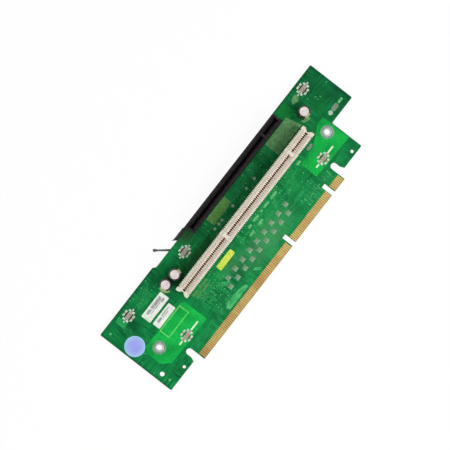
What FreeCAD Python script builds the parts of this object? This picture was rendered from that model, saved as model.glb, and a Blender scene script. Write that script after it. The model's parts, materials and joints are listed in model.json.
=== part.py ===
"""Riser card of a low server: a board with a long ivory card slot, a black card slot and a cover switch.

Frame: the board lies flat with its parts side up, +Z. +X runs along the board towards the bracket end, and
+Y towards the top edge, away from the gold fingers. The origin is under the middle of the whole outline, in
the plane that the card lies on, where the slots' pegs end and the lower face of the switch case is.
All sizes are in millimetres.
"""

import FreeCAD
import Part
import math
import os

Vector = FreeCAD.Vector

# Board: depths are counted down from the top edge, distances along it from the left or right end
board_length = 216.4
board_depth = 61.5
board_thickness = 1.57
stand_height = 2.0
corner_radius = 0.8
end_tab_depth = 57.0
bracket_block_width = 20.5
bracket_block_depth = 33.4

# Finger tongue: two end notches, two keys and a bevelled edge
left_tab_width = 24.2
right_tab_width = 18.7
tab_lead_in_width = 1.2
tab_lead_in_depth = 2.6
notch_width = 4.4
notch_depth = 8.0
notch_crown_flat = 0.078
key_width = 3.0
key_depth = 8.2
first_key_from_tongue = 92.1
second_key_from_tongue_end = 11.6
bevel_length = 0.6
bevel_depth = 0.45

# Gold fingers
finger_pitch = 1.27
finger_width = 0.9
finger_length = 4.5
finger_margin = 0.5
plating_thickness = 0.05

# Shallow recess in the top edge, where the switch lever comes out
recess_from_left = 53.6
recess_length = 31.8
recess_depth = 1.7
recess_ramp = 2.2

# Holes
mount_hole_diameter = 4.0
mount_hole_from_left = 16.8
mount_hole_from_right = 26.9
mount_hole_depth = 34.5
mount_ring_diameter = 8.8
mount_ring_inset = 0.15
ring_sides = 20
tab_hole_diameter = 2.2
tab_hole_depth = 54.4
guide_hole_diameter = 3.2
guide_hole_from_left = 4.6
guide_hole_depth = 46.2

# Both card slots
slot_spacing = 20.32
slit_width = 1.8
slit_end_room = 1.5
slit_key_room = 0.7
mouth_chamfer = 0.6
lip_height = 1.4
chamber_depth = 1.2
chamber_end_room = 0.7
foot_height = 0.4
rim_chamfer = 0.3
peg_diameter = 2.3
peg_clearance = 0.05
tail_clearance = 0.2
contact_thickness = 0.35
contact_wall_gap = 0.15
contact_lip_gap = 0.3

# Ivory slot: contacts of each row in the sections between the keys, counted from the left
ivory_section_counts = (32, 49, 11)
ivory_pitch = 1.27
ivory_key_gap = 3.81
ivory_end_margin = 3.8
ivory_from_left = 53.25
ivory_width = 9.0
ivory_height = 15.5
ivory_floor_height = 4.0
ivory_contact_width = 0.6
fishtail_depth = 1.9
fishtail_width = 5.0
fishtail_floor = 2.0

# Black slot
black_section_counts = (71, 11)
black_pitch = 1.0
black_key_gap = 3.0
black_end_margin = 3.0
black_from_left = 87.3
black_axis_depth = 4.1
black_width = 7.5
black_height = 11.25
black_floor_height = 3.0
black_contact_width = 0.45

# Round capacitors
capacitor_diameter = 8.0
capacitor_height = 12.0
sleeve_wall = 0.25
can_inset = 0.3
can_standoff = 0.5
lead_pitch = 3.5
lead_diameter = 0.6
lead_clearance = 0.1
lead_reach = 1.4
left_capacitor_from_left = 51.3
left_capacitor_depth = 13.3
middle_capacitor_from_left = 59.9
middle_capacitor_depth = 13.9
right_capacitor_from_right = 27.2
right_capacitor_depth = 15.2

# Touch-point disc and labels
disc_diameter = 13.4
disc_thickness = 0.2
disc_from_left = 7.8
disc_depth = 21.8
label_thickness = 0.1
long_label_length = 19.8
long_label_width = 7.0
long_label_from_left = 25.4
long_label_depth = 13.2
short_label_length = 16.8
short_label_width = 5.4
short_label_from_left = 26.0
short_label_depth = 21.8

# Resistor arrays, in two staggered rows below the ivory slot
array_count = 9
array_pitch = 7.36
array_length = 3.2
array_width = 1.6
array_height = 0.6
upper_array_from_left = 78.3
upper_array_depth = 41.6
lower_array_from_left = 75.0
lower_array_depth = 46.2

# Groups of one tantalum capacitor with a chip capacitor on each of its sides
tantalum_length = 3.5
tantalum_width = 2.8
tantalum_height = 1.9
tantalum_taper = 0.15
chip_length = 2.0
chip_width = 1.25
chip_height = 0.8
chip_gap = 0.9
first_group_from_left = 20.7
first_group_depth = 6.8
second_group_from_left = 74.4
second_group_depth = 9.8
third_group_from_left = 33.4
third_group_depth = 43.4
fourth_group_from_right = 41.7
fourth_group_depth = 42.8
fifth_group_from_right = 15.0
fifth_group_depth = 5.6

# Cover switch on the board's back, measured from its pivot
pivot_from_left = 72.2
pivot_depth = 5.4
pivot_pin_diameter = 1.0
pivot_clearance = 0.05
pin_end_inset = 0.1
lever_angle = 128.8
lever_length = 14.5
lever_width = 1.1
lever_root_width = 1.7
lever_clearance = 0.1
lever_hub_radius = 1.5
lever_tip_radius = 1.0
lever_tip_length = 2.4
cam_length = 2.4
cam_radius = 0.5
switch_plate = 0.5
switch_wall = 0.7
switch_right = 13.5
switch_left = 4.6
switch_bottom = 4.6
switch_rise = 0.5
switch_barb = 0.9
switch_barb_from_pivot = 2.3
switch_shelf_inset = 0.3
switch_shelf_left = 1.5
switch_mouth_bottom = 1.0
leaf_thickness = 0.2
leaf_play = 0.15
leaf_overhang = 0.9
contact_gap = 1.0
terminal_length = 1.5
terminal_spacing = 1.0

# Places that follow from the sizes above
lever_tilt = math.radians(lever_angle)
lever_rise = lever_length * math.sin(lever_tilt) + lever_tip_radius - pivot_depth
top_edge = (board_depth - lever_rise) / 2
finger_edge = top_edge - board_depth
left_end = -board_length / 2
right_end = board_length / 2
board_bottom = stand_height
board_top = board_bottom + board_thickness
block_left = right_end - bracket_block_width
tongue_left = left_end + left_tab_width + notch_width
tongue_right = block_left - right_tab_width - notch_width
tab_edge = top_edge - end_tab_depth
key_centres = (tongue_left + first_key_from_tongue, tongue_right - second_key_from_tongue_end)


def along(distance):
    """X of a place this far from the board's left end."""
    return left_end + distance


def back_along(distance):
    """X of a place this far from the board's right end."""
    return right_end - distance


def below(depth):
    """Y of a place this far below the board's top edge."""
    return top_edge - depth


def block(low, high):
    """Box between two corners."""
    size = [b - a for a, b in zip(low, high)]
    return Part.makeBox(*size, Vector(*low))


def rod(x, y, low, high, diameter):
    """Upright cylinder from one height to another."""
    return Part.makeCylinder(diameter / 2, high - low, Vector(x, y, low))


def flat_sided_rod(x, y, low, high, diameter, sides=10):
    """Upright rod with flat sides, for what is small or thin: its corners lie on the diameter."""
    radius = diameter / 2
    turns = [2 * math.pi * i / sides for i in range(sides)]
    corners = [(x + radius * math.cos(turn), y + radius * math.sin(turn)) for turn in turns]
    return prism(corners, low, high)


def prism(points, low, high):
    """Upright prism on a polygon given as (x, y) points."""
    corners = [Vector(x, y, low) for x, y in points]
    face = Part.Face(Part.makePolygon(corners + corners[:1]))
    return face.extrude(Vector(0, 0, high - low))


def bar(points, start, end):
    """Bar along X on a section given as (y, z) points."""
    corners = [Vector(start, y, z) for y, z in points]
    face = Part.Face(Part.makePolygon(corners + corners[:1]))
    return face.extrude(Vector(end - start, 0, 0))


def rounded_outline(corners):
    """Closed wire through (x, y, radius) corners, with an arc at each corner that has a radius."""
    edges = []
    stretches = []
    for i, (x, y, radius) in enumerate(corners):
        here = Vector(x, y, 0)
        before = Vector(*corners[i - 1][:2], 0)
        after = Vector(*corners[(i + 1) % len(corners)][:2], 0)
        back = (before - here).normalize()
        on = (after - here).normalize()
        half = back.getAngle(on) / 2
        start = here + back * (radius / math.tan(half))
        end = here + on * (radius / math.tan(half))
        inward = (back + on).normalize()
        middle = here + inward * (radius / math.sin(half) - radius)
        stretches.append((start, middle, end, radius))
    for i, (start, middle, end, radius) in enumerate(stretches):
        if radius > 0:
            edges.append(Part.Arc(start, middle, end).toShape())
        edges.append(Part.makeLine(end, stretches[(i + 1) % len(stretches)][0]))
    return Part.Wire(edges)


def group(solids):
    """Several separate solids of one node."""
    return Part.makeCompound(solids)


class CardSlot:
    """A card slot whose length follows from its contacts: sections of contacts with a key between them."""

    def __init__(
        self, left, axis, section_counts, pitch, key_gap, end_margin, width, height, floor, contact_width
    ):
        self.left = left
        self.axis = axis
        self.half_width = width / 2
        self.top = board_top + height
        self.floor = board_top + floor
        self.contact_width = contact_width
        self.end_margin = end_margin
        self.sections = []
        place = left + end_margin
        for count in section_counts:
            self.sections.append([place + i * pitch for i in range(count)])
            place = self.sections[-1][-1] + key_gap
        self.right = self.sections[-1][-1] + end_margin
        self.chamber_half = slit_width / 2 + chamber_depth

    def peg_places(self):
        """Middle of the wall at each end, where a locating peg goes down through the board."""
        inset = self.end_margin / 2
        return [(self.left + inset, self.axis), (self.right - inset, self.axis)]

    def outer(self):
        """Moulding before its hollows: a long block with a chamfered rim."""
        w = self.half_width
        section = [
            (self.axis - w, board_top),
            (self.axis + w, board_top),
            (self.axis + w, self.top - rim_chamfer),
            (self.axis + w - rim_chamfer, self.top),
            (self.axis - w + rim_chamfer, self.top),
            (self.axis - w, self.top - rim_chamfer),
        ]
        return bar(section, self.left, self.right)

    def slit_ends(self, places):
        """Both ends of one section's slit, which has less room beside a key than at the slot's ends."""
        first_room = slit_end_room if places is self.sections[0] else slit_key_room
        last_room = slit_end_room if places is self.sections[-1] else slit_key_room
        return places[0] - first_room, places[-1] + last_room

    def card_slit(self, places):
        """Space that the card's edge goes into, with a chamfered mouth."""
        half = slit_width / 2
        section = [
            (self.axis - half, self.floor),
            (self.axis + half, self.floor),
            (self.axis + half, self.top - mouth_chamfer),
            (self.axis + half + mouth_chamfer, self.top),
            (self.axis - half - mouth_chamfer, self.top),
            (self.axis - half, self.top - mouth_chamfer),
        ]
        return bar(section, *self.slit_ends(places))

    def contact_chamber(self, places):
        """Wider space under the lip, where both rows of contacts stand."""
        low = (places[0] - chamber_end_room, self.axis - self.chamber_half, self.floor)
        high = (places[-1] + chamber_end_room, self.axis + self.chamber_half, self.top - lip_height)
        return block(low, high)

    def foot_relief(self, places):
        """Gap over the board between the feet, which lets solder and flux out."""
        start, end = self.slit_ends(places)
        low = (start, self.axis - self.half_width, board_top)
        high = (end, self.axis + self.half_width, board_top + foot_height)
        return block(low, high)

    def housing(self):
        hollows = []
        for places in self.sections:
            hollows.append(self.card_slit(places))
            hollows.append(self.contact_chamber(places))
            hollows.append(self.foot_relief(places))
        pegs = [flat_sided_rod(x, y, 0, board_top, peg_diameter) for x, y in self.peg_places()]
        return self.outer().cut(hollows).fuse(pegs)

    def contact_row(self, side):
        """One row of spring contacts: side is 1 towards the top edge and -1 towards the fingers."""
        back = self.chamber_half - contact_wall_gap
        front = back - contact_thickness
        tip = self.top - lip_height - contact_lip_gap
        section = [
            (front, tail_clearance),
            (back, tail_clearance),
            (back, tip),
            (front, tip),
        ]
        section = [(self.axis + side * offset, z) for offset, z in section]
        half = self.contact_width / 2
        return group([bar(section, x - half, x + half) for places in self.sections for x in places])


black_slot = CardSlot(
    along(black_from_left),
    below(black_axis_depth),
    black_section_counts,
    black_pitch,
    black_key_gap,
    black_end_margin,
    black_width,
    black_height,
    black_floor_height,
    black_contact_width,
)
ivory_slot = CardSlot(
    along(ivory_from_left),
    below(black_axis_depth + slot_spacing),
    ivory_section_counts,
    ivory_pitch,
    ivory_key_gap,
    ivory_end_margin,
    ivory_width,
    ivory_height,
    ivory_floor_height,
    ivory_contact_width,
)

capacitor_places = [
    (along(left_capacitor_from_left), below(left_capacitor_depth)),
    (along(middle_capacitor_from_left), below(middle_capacitor_depth)),
    (back_along(right_capacitor_from_right), below(right_capacitor_depth)),
]
mount_holes = [
    (along(mount_hole_from_left), below(mount_hole_depth)),
    (back_along(mount_hole_from_right), below(mount_hole_depth)),
]
group_places = [
    (along(first_group_from_left), below(first_group_depth)),
    (along(second_group_from_left), below(second_group_depth)),
    (along(third_group_from_left), below(third_group_depth)),
    (back_along(fourth_group_from_right), below(fourth_group_depth)),
    (back_along(fifth_group_from_right), below(fifth_group_depth)),
]


def lead_places(x, y):
    """Where the two leads of a capacitor go into the board."""
    return [(x - lead_pitch / 2, y), (x + lead_pitch / 2, y)]


def notch(left, right):
    """Corners of a round-topped notch, from its right side to its left."""
    radius = (right - left - notch_crown_flat) / 2
    crown = tab_edge + notch_depth
    return [(right, crown, radius), (left, crown, radius)]


def board_outline():
    recess_left = along(recess_from_left)
    recess_right = recess_left + recess_length
    block_edge = below(bracket_block_depth)
    corners = [
        (left_end, top_edge, corner_radius),
        (recess_left, top_edge, 0),
        (recess_left + recess_ramp, top_edge - recess_depth, 0),
        (recess_right, top_edge - recess_depth, 0),
        (recess_right, top_edge, 0),
        (right_end, top_edge, corner_radius),
        (right_end, block_edge, corner_radius),
        (block_left, block_edge, corner_radius),
        (block_left, tab_edge, corner_radius),
        (tongue_right + notch_width + tab_lead_in_width, tab_edge, 0),
        (tongue_right + notch_width, tab_edge + tab_lead_in_depth, 0),
    ]
    corners += notch(tongue_right, tongue_right + notch_width)
    corners.append((tongue_right, finger_edge, 0))
    for centre in reversed(key_centres):
        corners += [
            (centre + key_width / 2, finger_edge, 0),
            (centre + key_width / 2, finger_edge + key_depth, 0),
            (centre - key_width / 2, finger_edge + key_depth, 0),
            (centre - key_width / 2, finger_edge, 0),
        ]
    corners.append((tongue_left, finger_edge, 0))
    corners += notch(tongue_left - notch_width, tongue_left)
    corners += [
        (tongue_left - notch_width, tab_edge + tab_lead_in_depth, 0),
        (tongue_left - notch_width - tab_lead_in_width, tab_edge, 0),
        (left_end, tab_edge, corner_radius),
    ]
    return rounded_outline(corners)


def finger_bevel(face, inward):
    """Wedge that takes the edge off one face of the finger tongue."""
    slope = bevel_depth / bevel_length
    over = board_thickness
    section = [
        (finger_edge - over, face + inward * (bevel_depth + slope * over)),
        (finger_edge + bevel_length + over, face - inward * slope * over),
        (finger_edge - over, face - inward * slope * over),
    ]
    return bar(section, tongue_left, tongue_right)


def circuit_board():
    slab = Part.Face(board_outline()).extrude(Vector(0, 0, board_thickness))
    slab.translate(Vector(0, 0, board_bottom))
    cuts = [finger_bevel(board_top, -1), finger_bevel(board_bottom, 1)]
    cuts += [rod(x, y, board_bottom, board_top, mount_hole_diameter) for x, y in mount_holes]
    small_holes = [(x, below(tab_hole_depth), tab_hole_diameter) for x, y in mount_holes]
    small_holes.append((along(guide_hole_from_left), below(guide_hole_depth), guide_hole_diameter))
    for slot in (ivory_slot, black_slot):
        small_holes += [(x, y, peg_diameter + 2 * peg_clearance) for x, y in slot.peg_places()]
    for place in capacitor_places:
        small_holes += [(x, y, lead_diameter + 2 * lead_clearance) for x, y in lead_places(*place)]
    cuts += [flat_sided_rod(x, y, board_bottom, board_top, diameter) for x, y, diameter in small_holes]
    return slab.cut(cuts)


def finger_stretches():
    """Ends of the three stretches of the tongue between its notches and keys."""
    ends = [tongue_left]
    for centre in key_centres:
        ends += [centre - key_width / 2, centre + key_width / 2]
    ends.append(tongue_right)
    return list(zip(ends[0::2], ends[1::2]))


def edge_fingers(low):
    """Gold fingers of one face, spread evenly over each stretch of the tongue."""
    fingers = []
    first = finger_edge + bevel_length
    for start, end in finger_stretches():
        room = end - start - 2 * finger_margin - finger_width
        count = int(room / finger_pitch) + 1
        x = (start + end - (count - 1) * finger_pitch - finger_width) / 2
        for i in range(count):
            corner = (x + i * finger_pitch, first, low)
            far = (corner[0] + finger_width, first + finger_length, low + plating_thickness)
            fingers.append(block(corner, far))
    return group(fingers)


def mounting_rings():
    """Plated ring round each mounting hole, on both faces of the board."""
    rings = []
    for x, y in mount_holes:
        for low in (board_top, board_bottom - plating_thickness):
            high = low + plating_thickness
            disc = flat_sided_rod(x, y, low, high, mount_ring_diameter, ring_sides)
            inner = mount_hole_diameter + 2 * mount_ring_inset
            rings.append(disc.cut(flat_sided_rod(x, y, low, high, inner, ring_sides)))
    return group(rings)


def ivory_housing():
    """Ivory moulding: its ends split into two prongs round an upright groove."""
    grooves = []
    half = fishtail_width / 2
    for end, inward in ((ivory_slot.left, 1), (ivory_slot.right, -1)):
        outline = [
            (end, ivory_slot.axis - half),
            (end, ivory_slot.axis + half),
            (end + inward * fishtail_depth, ivory_slot.axis),
        ]
        grooves.append(prism(outline, board_top + fishtail_floor, ivory_slot.top))
    return ivory_slot.housing().cut(grooves)


can_bottom = board_top + can_standoff
sleeve_top = board_top + capacitor_height


def capacitor_cans():
    """Closed cans, whose flat tops lie a little below the sleeves' rims."""
    diameter = capacitor_diameter - 2 * sleeve_wall
    return group([rod(x, y, can_bottom, sleeve_top - can_inset, diameter) for x, y in capacitor_places])


def capacitor_sleeves():
    """Shrunk sleeves round the cans, down to the board."""
    sleeves = []
    for x, y in capacitor_places:
        outside = rod(x, y, board_top, sleeve_top, capacitor_diameter)
        inside = rod(x, y, board_top, sleeve_top, capacitor_diameter - 2 * sleeve_wall)
        sleeves.append(outside.cut(inside))
    return group(sleeves)


def capacitor_leads():
    """Two leads of each can, down through the board."""
    leads = []
    for place in capacitor_places:
        for x, y in lead_places(*place):
            leads.append(flat_sided_rod(x, y, board_bottom - lead_reach, can_bottom, lead_diameter))
    return group(leads)


def touch_disc():
    high = board_top + disc_thickness
    return rod(along(disc_from_left), below(disc_depth), board_top, high, disc_diameter)


def label(from_left, depth, length, width):
    low = (along(from_left), below(depth + width), board_top)
    return block(low, (low[0] + length, low[1] + width, board_top + label_thickness))


def chip(x, y, length, width, height):
    """Flat part of a box shape, centred on a place on the board."""
    low = (x - length / 2, y - width / 2, board_top)
    return block(low, (x + length / 2, y + width / 2, board_top + height))


def resistor_arrays():
    arrays = []
    for from_left, depth in (
        (upper_array_from_left, upper_array_depth),
        (lower_array_from_left, lower_array_depth),
    ):
        for i in range(array_count):
            x = along(from_left + i * array_pitch)
            arrays.append(chip(x, below(depth), array_length, array_width, array_height))
    return group(arrays)


def rectangle(x, y, z, length, width):
    corners = [
        Vector(x - length / 2, y - width / 2, z),
        Vector(x + length / 2, y - width / 2, z),
        Vector(x + length / 2, y + width / 2, z),
        Vector(x - length / 2, y + width / 2, z),
    ]
    return Part.makePolygon(corners + corners[:1])


def tantalum_capacitors():
    """Moulded bodies whose sides taper in towards the top."""
    bodies = []
    for x, y in group_places:
        foot = rectangle(x, y, board_top, tantalum_length, tantalum_width)
        roof = rectangle(
            x,
            y,
            board_top + tantalum_height,
            tantalum_length - 2 * tantalum_taper,
            tantalum_width - 2 * tantalum_taper,
        )
        bodies.append(Part.makeLoft([foot, roof], True, True))
    return group(bodies)


def chip_capacitors():
    """One chip on each side of each tantalum body, lying along that side."""
    chips = []
    aside = tantalum_length / 2 + chip_gap + chip_width / 2
    away = tantalum_width / 2 + chip_gap + chip_width / 2
    for x, y in group_places:
        for sign in (-1, 1):
            chips.append(chip(x + sign * aside, y, chip_width, chip_length, chip_height))
            chips.append(chip(x, y + sign * away, chip_length, chip_width, chip_height))
    return group(chips)


# Cover switch: heights of its layers, and directions counted from the pivot
pivot_x = along(pivot_from_left)
pivot_y = below(pivot_depth)
cover_top = switch_plate
base_low = board_bottom - switch_plate
lever_low = cover_top + lever_clearance
lever_high = base_low - lever_clearance
arm = Vector(math.cos(lever_tilt), math.sin(lever_tilt), 0)
across = Vector(arm.y, -arm.x, 0)


def from_pivot(points):
    """Board places of points counted from the switch's pivot."""
    return [(pivot_x + x, pivot_y + y) for x, y in points]


def polar(out, side):
    """Point this far out along the lever and this far to its side, counted from the pivot."""
    spot = arm * out + across * side
    return (spot.x, spot.y)


case_top = pivot_depth + switch_rise
barb_tip = (switch_barb_from_pivot, case_top + switch_barb)
shelf = pivot_depth - recess_depth - switch_shelf_inset
slant = arm.x / arm.y
wall_low = -switch_bottom + switch_wall
fixed_low = wall_low + leaf_thickness + terminal_spacing


def on_slant(height):
    """Point of the slanted edge, parallel to the lever, that runs down from the barb."""
    return (barb_tip[0] + (height - barb_tip[1]) * slant, height)


def switch_outline():
    """Outline of the case's two plates: a slanted mouth between the barb and the left wall."""
    return from_pivot(
        [
            (switch_right, case_top),
            (on_slant(case_top)[0] + switch_barb, case_top),
            barb_tip,
            on_slant(shelf),
            (-switch_shelf_left, shelf),
            (-switch_left, switch_mouth_bottom),
            (-switch_left, -switch_bottom),
            (switch_right, -switch_bottom),
        ]
    )


def switch_base():
    """Plate against the board, with the solid terminal block and two walls standing on it."""
    plate = prism(switch_outline(), base_low, board_bottom)
    terminal_block = [
        (switch_right, case_top),
        (on_slant(case_top)[0] + switch_barb, case_top),
        barb_tip,
        on_slant(fixed_low + leaf_thickness),
        (switch_right, fixed_low + leaf_thickness),
    ]
    lower_wall = [
        (-switch_left, -switch_bottom),
        (switch_right, -switch_bottom),
        (switch_right, wall_low),
        (-switch_left, wall_low),
    ]
    left_wall = [
        (-switch_left, -switch_bottom),
        (-switch_left + switch_wall, -switch_bottom),
        (-switch_left + switch_wall, 0),
        (-switch_left, 0),
    ]
    outlines = (terminal_block, lower_wall, left_wall)
    walls = [prism(from_pivot(outline), cover_top, base_low) for outline in outlines]
    pin_hole = flat_sided_rod(pivot_x, pivot_y, base_low, board_bottom, pivot_pin_diameter)
    return plate.fuse(walls).removeSplitter().cut(pin_hole)


def switch_cover():
    plate = prism(switch_outline(), 0, cover_top)
    return plate.cut(flat_sided_rod(pivot_x, pivot_y, 0, cover_top, pivot_pin_diameter))


def pivot_pin():
    low = pin_end_inset
    high = board_bottom - pin_end_inset
    return flat_sided_rod(pivot_x, pivot_y, low, high, pivot_pin_diameter)


def lever_rod(out, side, radius):
    x, y = from_pivot([polar(out, side)])[0]
    return rod(x, y, lever_low, lever_high, 2 * radius)


def lever_flank(start, end, start_width, end_width):
    """Straight stretch of the lever that narrows from one width to another."""
    outline = [
        polar(start, start_width / 2),
        polar(end, end_width / 2),
        polar(end, -end_width / 2),
        polar(start, -start_width / 2),
    ]
    return prism(from_pivot(outline), lever_low, lever_high)


def switch_lever():
    """Lever with a hub on the pivot pin, a thick round tip and a round-ended cam behind the hub."""
    hub = lever_rod(0, 0, lever_hub_radius)
    tip_start = lever_length - lever_tip_length
    pieces = [
        lever_flank(0, tip_start, lever_root_width, lever_width),
        lever_flank(tip_start, lever_length, lever_width, 2 * lever_tip_radius),
        lever_rod(lever_length, 0, lever_tip_radius),
        lever_flank(-cam_length, 0, 2 * cam_radius, 2 * cam_radius),
        lever_rod(-cam_length, 0, cam_radius),
    ]
    bore = lever_rod(0, 0, pivot_pin_diameter / 2 + pivot_clearance)
    return hub.fuse(pieces).removeSplitter().cut(bore)


def bent_strip(path, low, high):
    """Flat spring strip along points counted from the pivot, with its thickness to their left."""
    places = [Vector(x, y, 0) for x, y in path]
    near = list(path)
    far = []
    for i, place in enumerate(places):
        runs = []
        if i > 0:
            runs.append((place - places[i - 1]).normalize())
        if i + 1 < len(places):
            runs.append((places[i + 1] - place).normalize())
        sides = [Vector(-run.y, run.x, 0) for run in runs]
        mean = sides[0] if len(sides) == 1 else (sides[0] + sides[1]).normalize()
        shift = mean * (leaf_thickness / mean.dot(sides[0]))
        far.append((place.x + shift.x, place.y + shift.y))
    return prism(from_pivot(near + far[::-1]), low, high)


def terminal(height):
    """Tab outside the case that rises to the board, where it is soldered."""
    low = (switch_right, height)
    high = (switch_right + terminal_length, height + leaf_thickness)
    outline = [low, (high[0], low[1]), high, (low[0], high[1])]
    return prism(from_pivot(outline), lever_low, board_bottom)


def switch_strip(side, height):
    """Strip that runs beside the cam, bends and leaves the case along one height."""
    start = polar(-cam_length + leaf_overhang, side)
    reach = (start[1] - height) / arm.y
    bend = (start[0] - reach * arm.x, height)
    strip = bent_strip([start, bend, (switch_right, height)], lever_low, lever_high)
    return strip.fuse(terminal(height)).removeSplitter()


def spring_leaf():
    """Spring leaf that bears on the cam and is the moving contact."""
    return switch_strip(cam_radius + leaf_play, wall_low)


def fixed_contact():
    return switch_strip(cam_radius + leaf_play + leaf_thickness + contact_gap, fixed_low)


nodes = {
    "circuit_board": circuit_board(),
    "front_fingers": edge_fingers(board_top),
    "back_fingers": edge_fingers(board_bottom - plating_thickness),
    "mounting_rings": mounting_rings(),
    "ivory_slot_housing": ivory_housing(),
    "ivory_contacts_upper": ivory_slot.contact_row(1),
    "ivory_contacts_lower": ivory_slot.contact_row(-1),
    "black_slot_housing": black_slot.housing(),
    "black_contacts_upper": black_slot.contact_row(1),
    "black_contacts_lower": black_slot.contact_row(-1),
    "capacitor_cans": capacitor_cans(),
    "capacitor_sleeves": capacitor_sleeves(),
    "capacitor_leads": capacitor_leads(),
    "touch_disc": touch_disc(),
    "long_label": label(long_label_from_left, long_label_depth, long_label_length, long_label_width),
    "short_label": label(short_label_from_left, short_label_depth, short_label_length, short_label_width),
    "resistor_arrays": resistor_arrays(),
    "tantalum_capacitors": tantalum_capacitors(),
    "chip_capacitors": chip_capacitors(),
    "switch_base": switch_base(),
    "switch_cover": switch_cover(),
    "switch_lever": switch_lever(),
    "switch_pivot_pin": pivot_pin(),
    "switch_spring_leaf": spring_leaf(),
    "switch_fixed_contact": fixed_contact(),
}

os.makedirs("parts", exist_ok=True)
for name, shape in nodes.items():
    shape.exportStep(f"parts/{name}.step")
    state = "valid" if shape.isValid() else "INVALID"
    print(name, len(shape.Solids), "solids", round(shape.Volume, 2), "mm3", state)
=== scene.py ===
# %% [markdown]
# # A riser card, dressed around its CAD frame
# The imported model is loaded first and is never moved. Everything in this lesson is placed from it, in
# metres, so that what is seen here and what a simulation feels are one and the same card. Pieces whose
# solids are already right keep them and get a better finish. The others are built again in detail and
# stand in for their solids.

# %% Tools and frame
import json
import math

import bmesh
import bpy
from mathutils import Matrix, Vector

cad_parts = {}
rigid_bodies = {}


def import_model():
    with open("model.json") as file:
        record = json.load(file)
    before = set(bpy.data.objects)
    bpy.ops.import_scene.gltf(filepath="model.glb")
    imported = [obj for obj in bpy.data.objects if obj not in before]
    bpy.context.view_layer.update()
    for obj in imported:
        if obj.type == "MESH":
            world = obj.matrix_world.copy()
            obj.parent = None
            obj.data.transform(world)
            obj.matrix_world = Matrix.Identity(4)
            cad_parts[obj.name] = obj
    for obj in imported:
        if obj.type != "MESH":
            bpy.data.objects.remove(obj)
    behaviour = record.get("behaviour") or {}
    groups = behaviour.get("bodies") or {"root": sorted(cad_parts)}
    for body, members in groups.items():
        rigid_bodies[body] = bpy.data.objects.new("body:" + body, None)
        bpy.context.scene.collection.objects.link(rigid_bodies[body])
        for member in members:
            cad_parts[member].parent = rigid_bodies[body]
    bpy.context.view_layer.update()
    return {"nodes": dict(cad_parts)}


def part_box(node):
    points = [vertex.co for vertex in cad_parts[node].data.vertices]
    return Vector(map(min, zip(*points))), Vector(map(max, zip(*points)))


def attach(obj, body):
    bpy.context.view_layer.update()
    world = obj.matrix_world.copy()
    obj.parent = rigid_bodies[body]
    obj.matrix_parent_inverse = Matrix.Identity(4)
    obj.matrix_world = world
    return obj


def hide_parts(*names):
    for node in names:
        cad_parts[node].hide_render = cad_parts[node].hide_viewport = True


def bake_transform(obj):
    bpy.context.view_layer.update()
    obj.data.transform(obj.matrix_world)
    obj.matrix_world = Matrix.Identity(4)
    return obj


for thing in list(bpy.data.objects):
    bpy.data.objects.remove(thing)

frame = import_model()
cad_nodes = frame["nodes"]
print("frame loaded with", len(cad_nodes), "CAD nodes")

# %% [markdown]
# ## Where things are
# A board is measured as a maker would do it: so many millimetres along from its left end, and so many
# down from its top edge. One small function turns those two readings into a place in the frame, so that
# the numbers in this lesson can be checked with a ruler on the real card.

# %% Board places
mm = 0.001
board_low, board_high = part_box("circuit_board")
board_top = board_high.z
board_bottom = board_low.z


def at(along, depth):
    """Place on the board from two readings in millimetres: along from the left end, down from the top."""
    return board_low.x + along * mm, board_high.y - depth * mm


print("board is", round((board_high.x - board_low.x) / mm, 1), "mm long")
print("its face is at", round(board_top / mm, 2), "mm")

# %% [markdown]
# ## Camera
# The photograph looks straight down on the card, which lies turned by about 52 degrees in the picture.
# The camera stands high above it with a long lens, so the tall slots lean only a little. It comes first,
# because the later choices were matched to the photograph through it.

# %% Camera
camera_x, camera_y = -4.8 * mm, 7.7 * mm
camera_height = 0.65
field_width = 0.2844
card_turn = -52.1
lens_data = bpy.data.cameras.new("photo_camera")
lens_data.sensor_width = 36
lens_data.lens = lens_data.sensor_width * camera_height / field_width
lens_data.clip_start = 0.01
camera = bpy.data.objects.new("photo_camera", lens_data)
camera.location = (camera_x, camera_y, board_top + camera_height)
camera.rotation_euler = (0, 0, math.radians(card_turn))
stage_objects = bpy.context.scene.collection.objects
stage_objects.link(camera)
bpy.context.scene.camera = camera
bpy.context.scene.view_settings.view_transform = "Standard"
print("camera lens", round(lens_data.lens, 1), "mm")

# %% [markdown]
# ## Sums in node trees
# Node trees are easier to read as sums than as boxes and wires. One class wraps an output socket, so that
# plus, minus, times and the like each add a Math node. The other makes any node from its type, its
# settings and what goes into its sockets. Both shader trees and geometry trees use them.


# %% Values
def math_method(operation, swapped=False):
    """Method for one of Python's operators, which adds a Math node."""

    def method(self, other):
        pair = (other, self) if swapped else (self, other)
        return self.graph.node("ShaderNodeMath", {"operation": operation}, {0: pair[0], 1: pair[1]})

    return method


class Value:
    """One output socket of a tree, which Python's operators work on."""

    __add__ = math_method("ADD")
    __radd__ = math_method("ADD", swapped=True)
    __sub__ = math_method("SUBTRACT")
    __rsub__ = math_method("SUBTRACT", swapped=True)
    __mul__ = math_method("MULTIPLY")
    __rmul__ = math_method("MULTIPLY", swapped=True)
    __mod__ = math_method("MODULO")
    __gt__ = math_method("GREATER_THAN")

    def __init__(self, graph, socket):
        self.graph = graph
        self.socket = socket

    def __abs__(self):
        return self.graph.node("ShaderNodeMath", {"operation": "ABSOLUTE"}, {0: self})

    def other(self, output):
        """Another output of the same node."""
        return Value(self.graph, self.socket.node.outputs[output])


print("value class ready")


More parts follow.
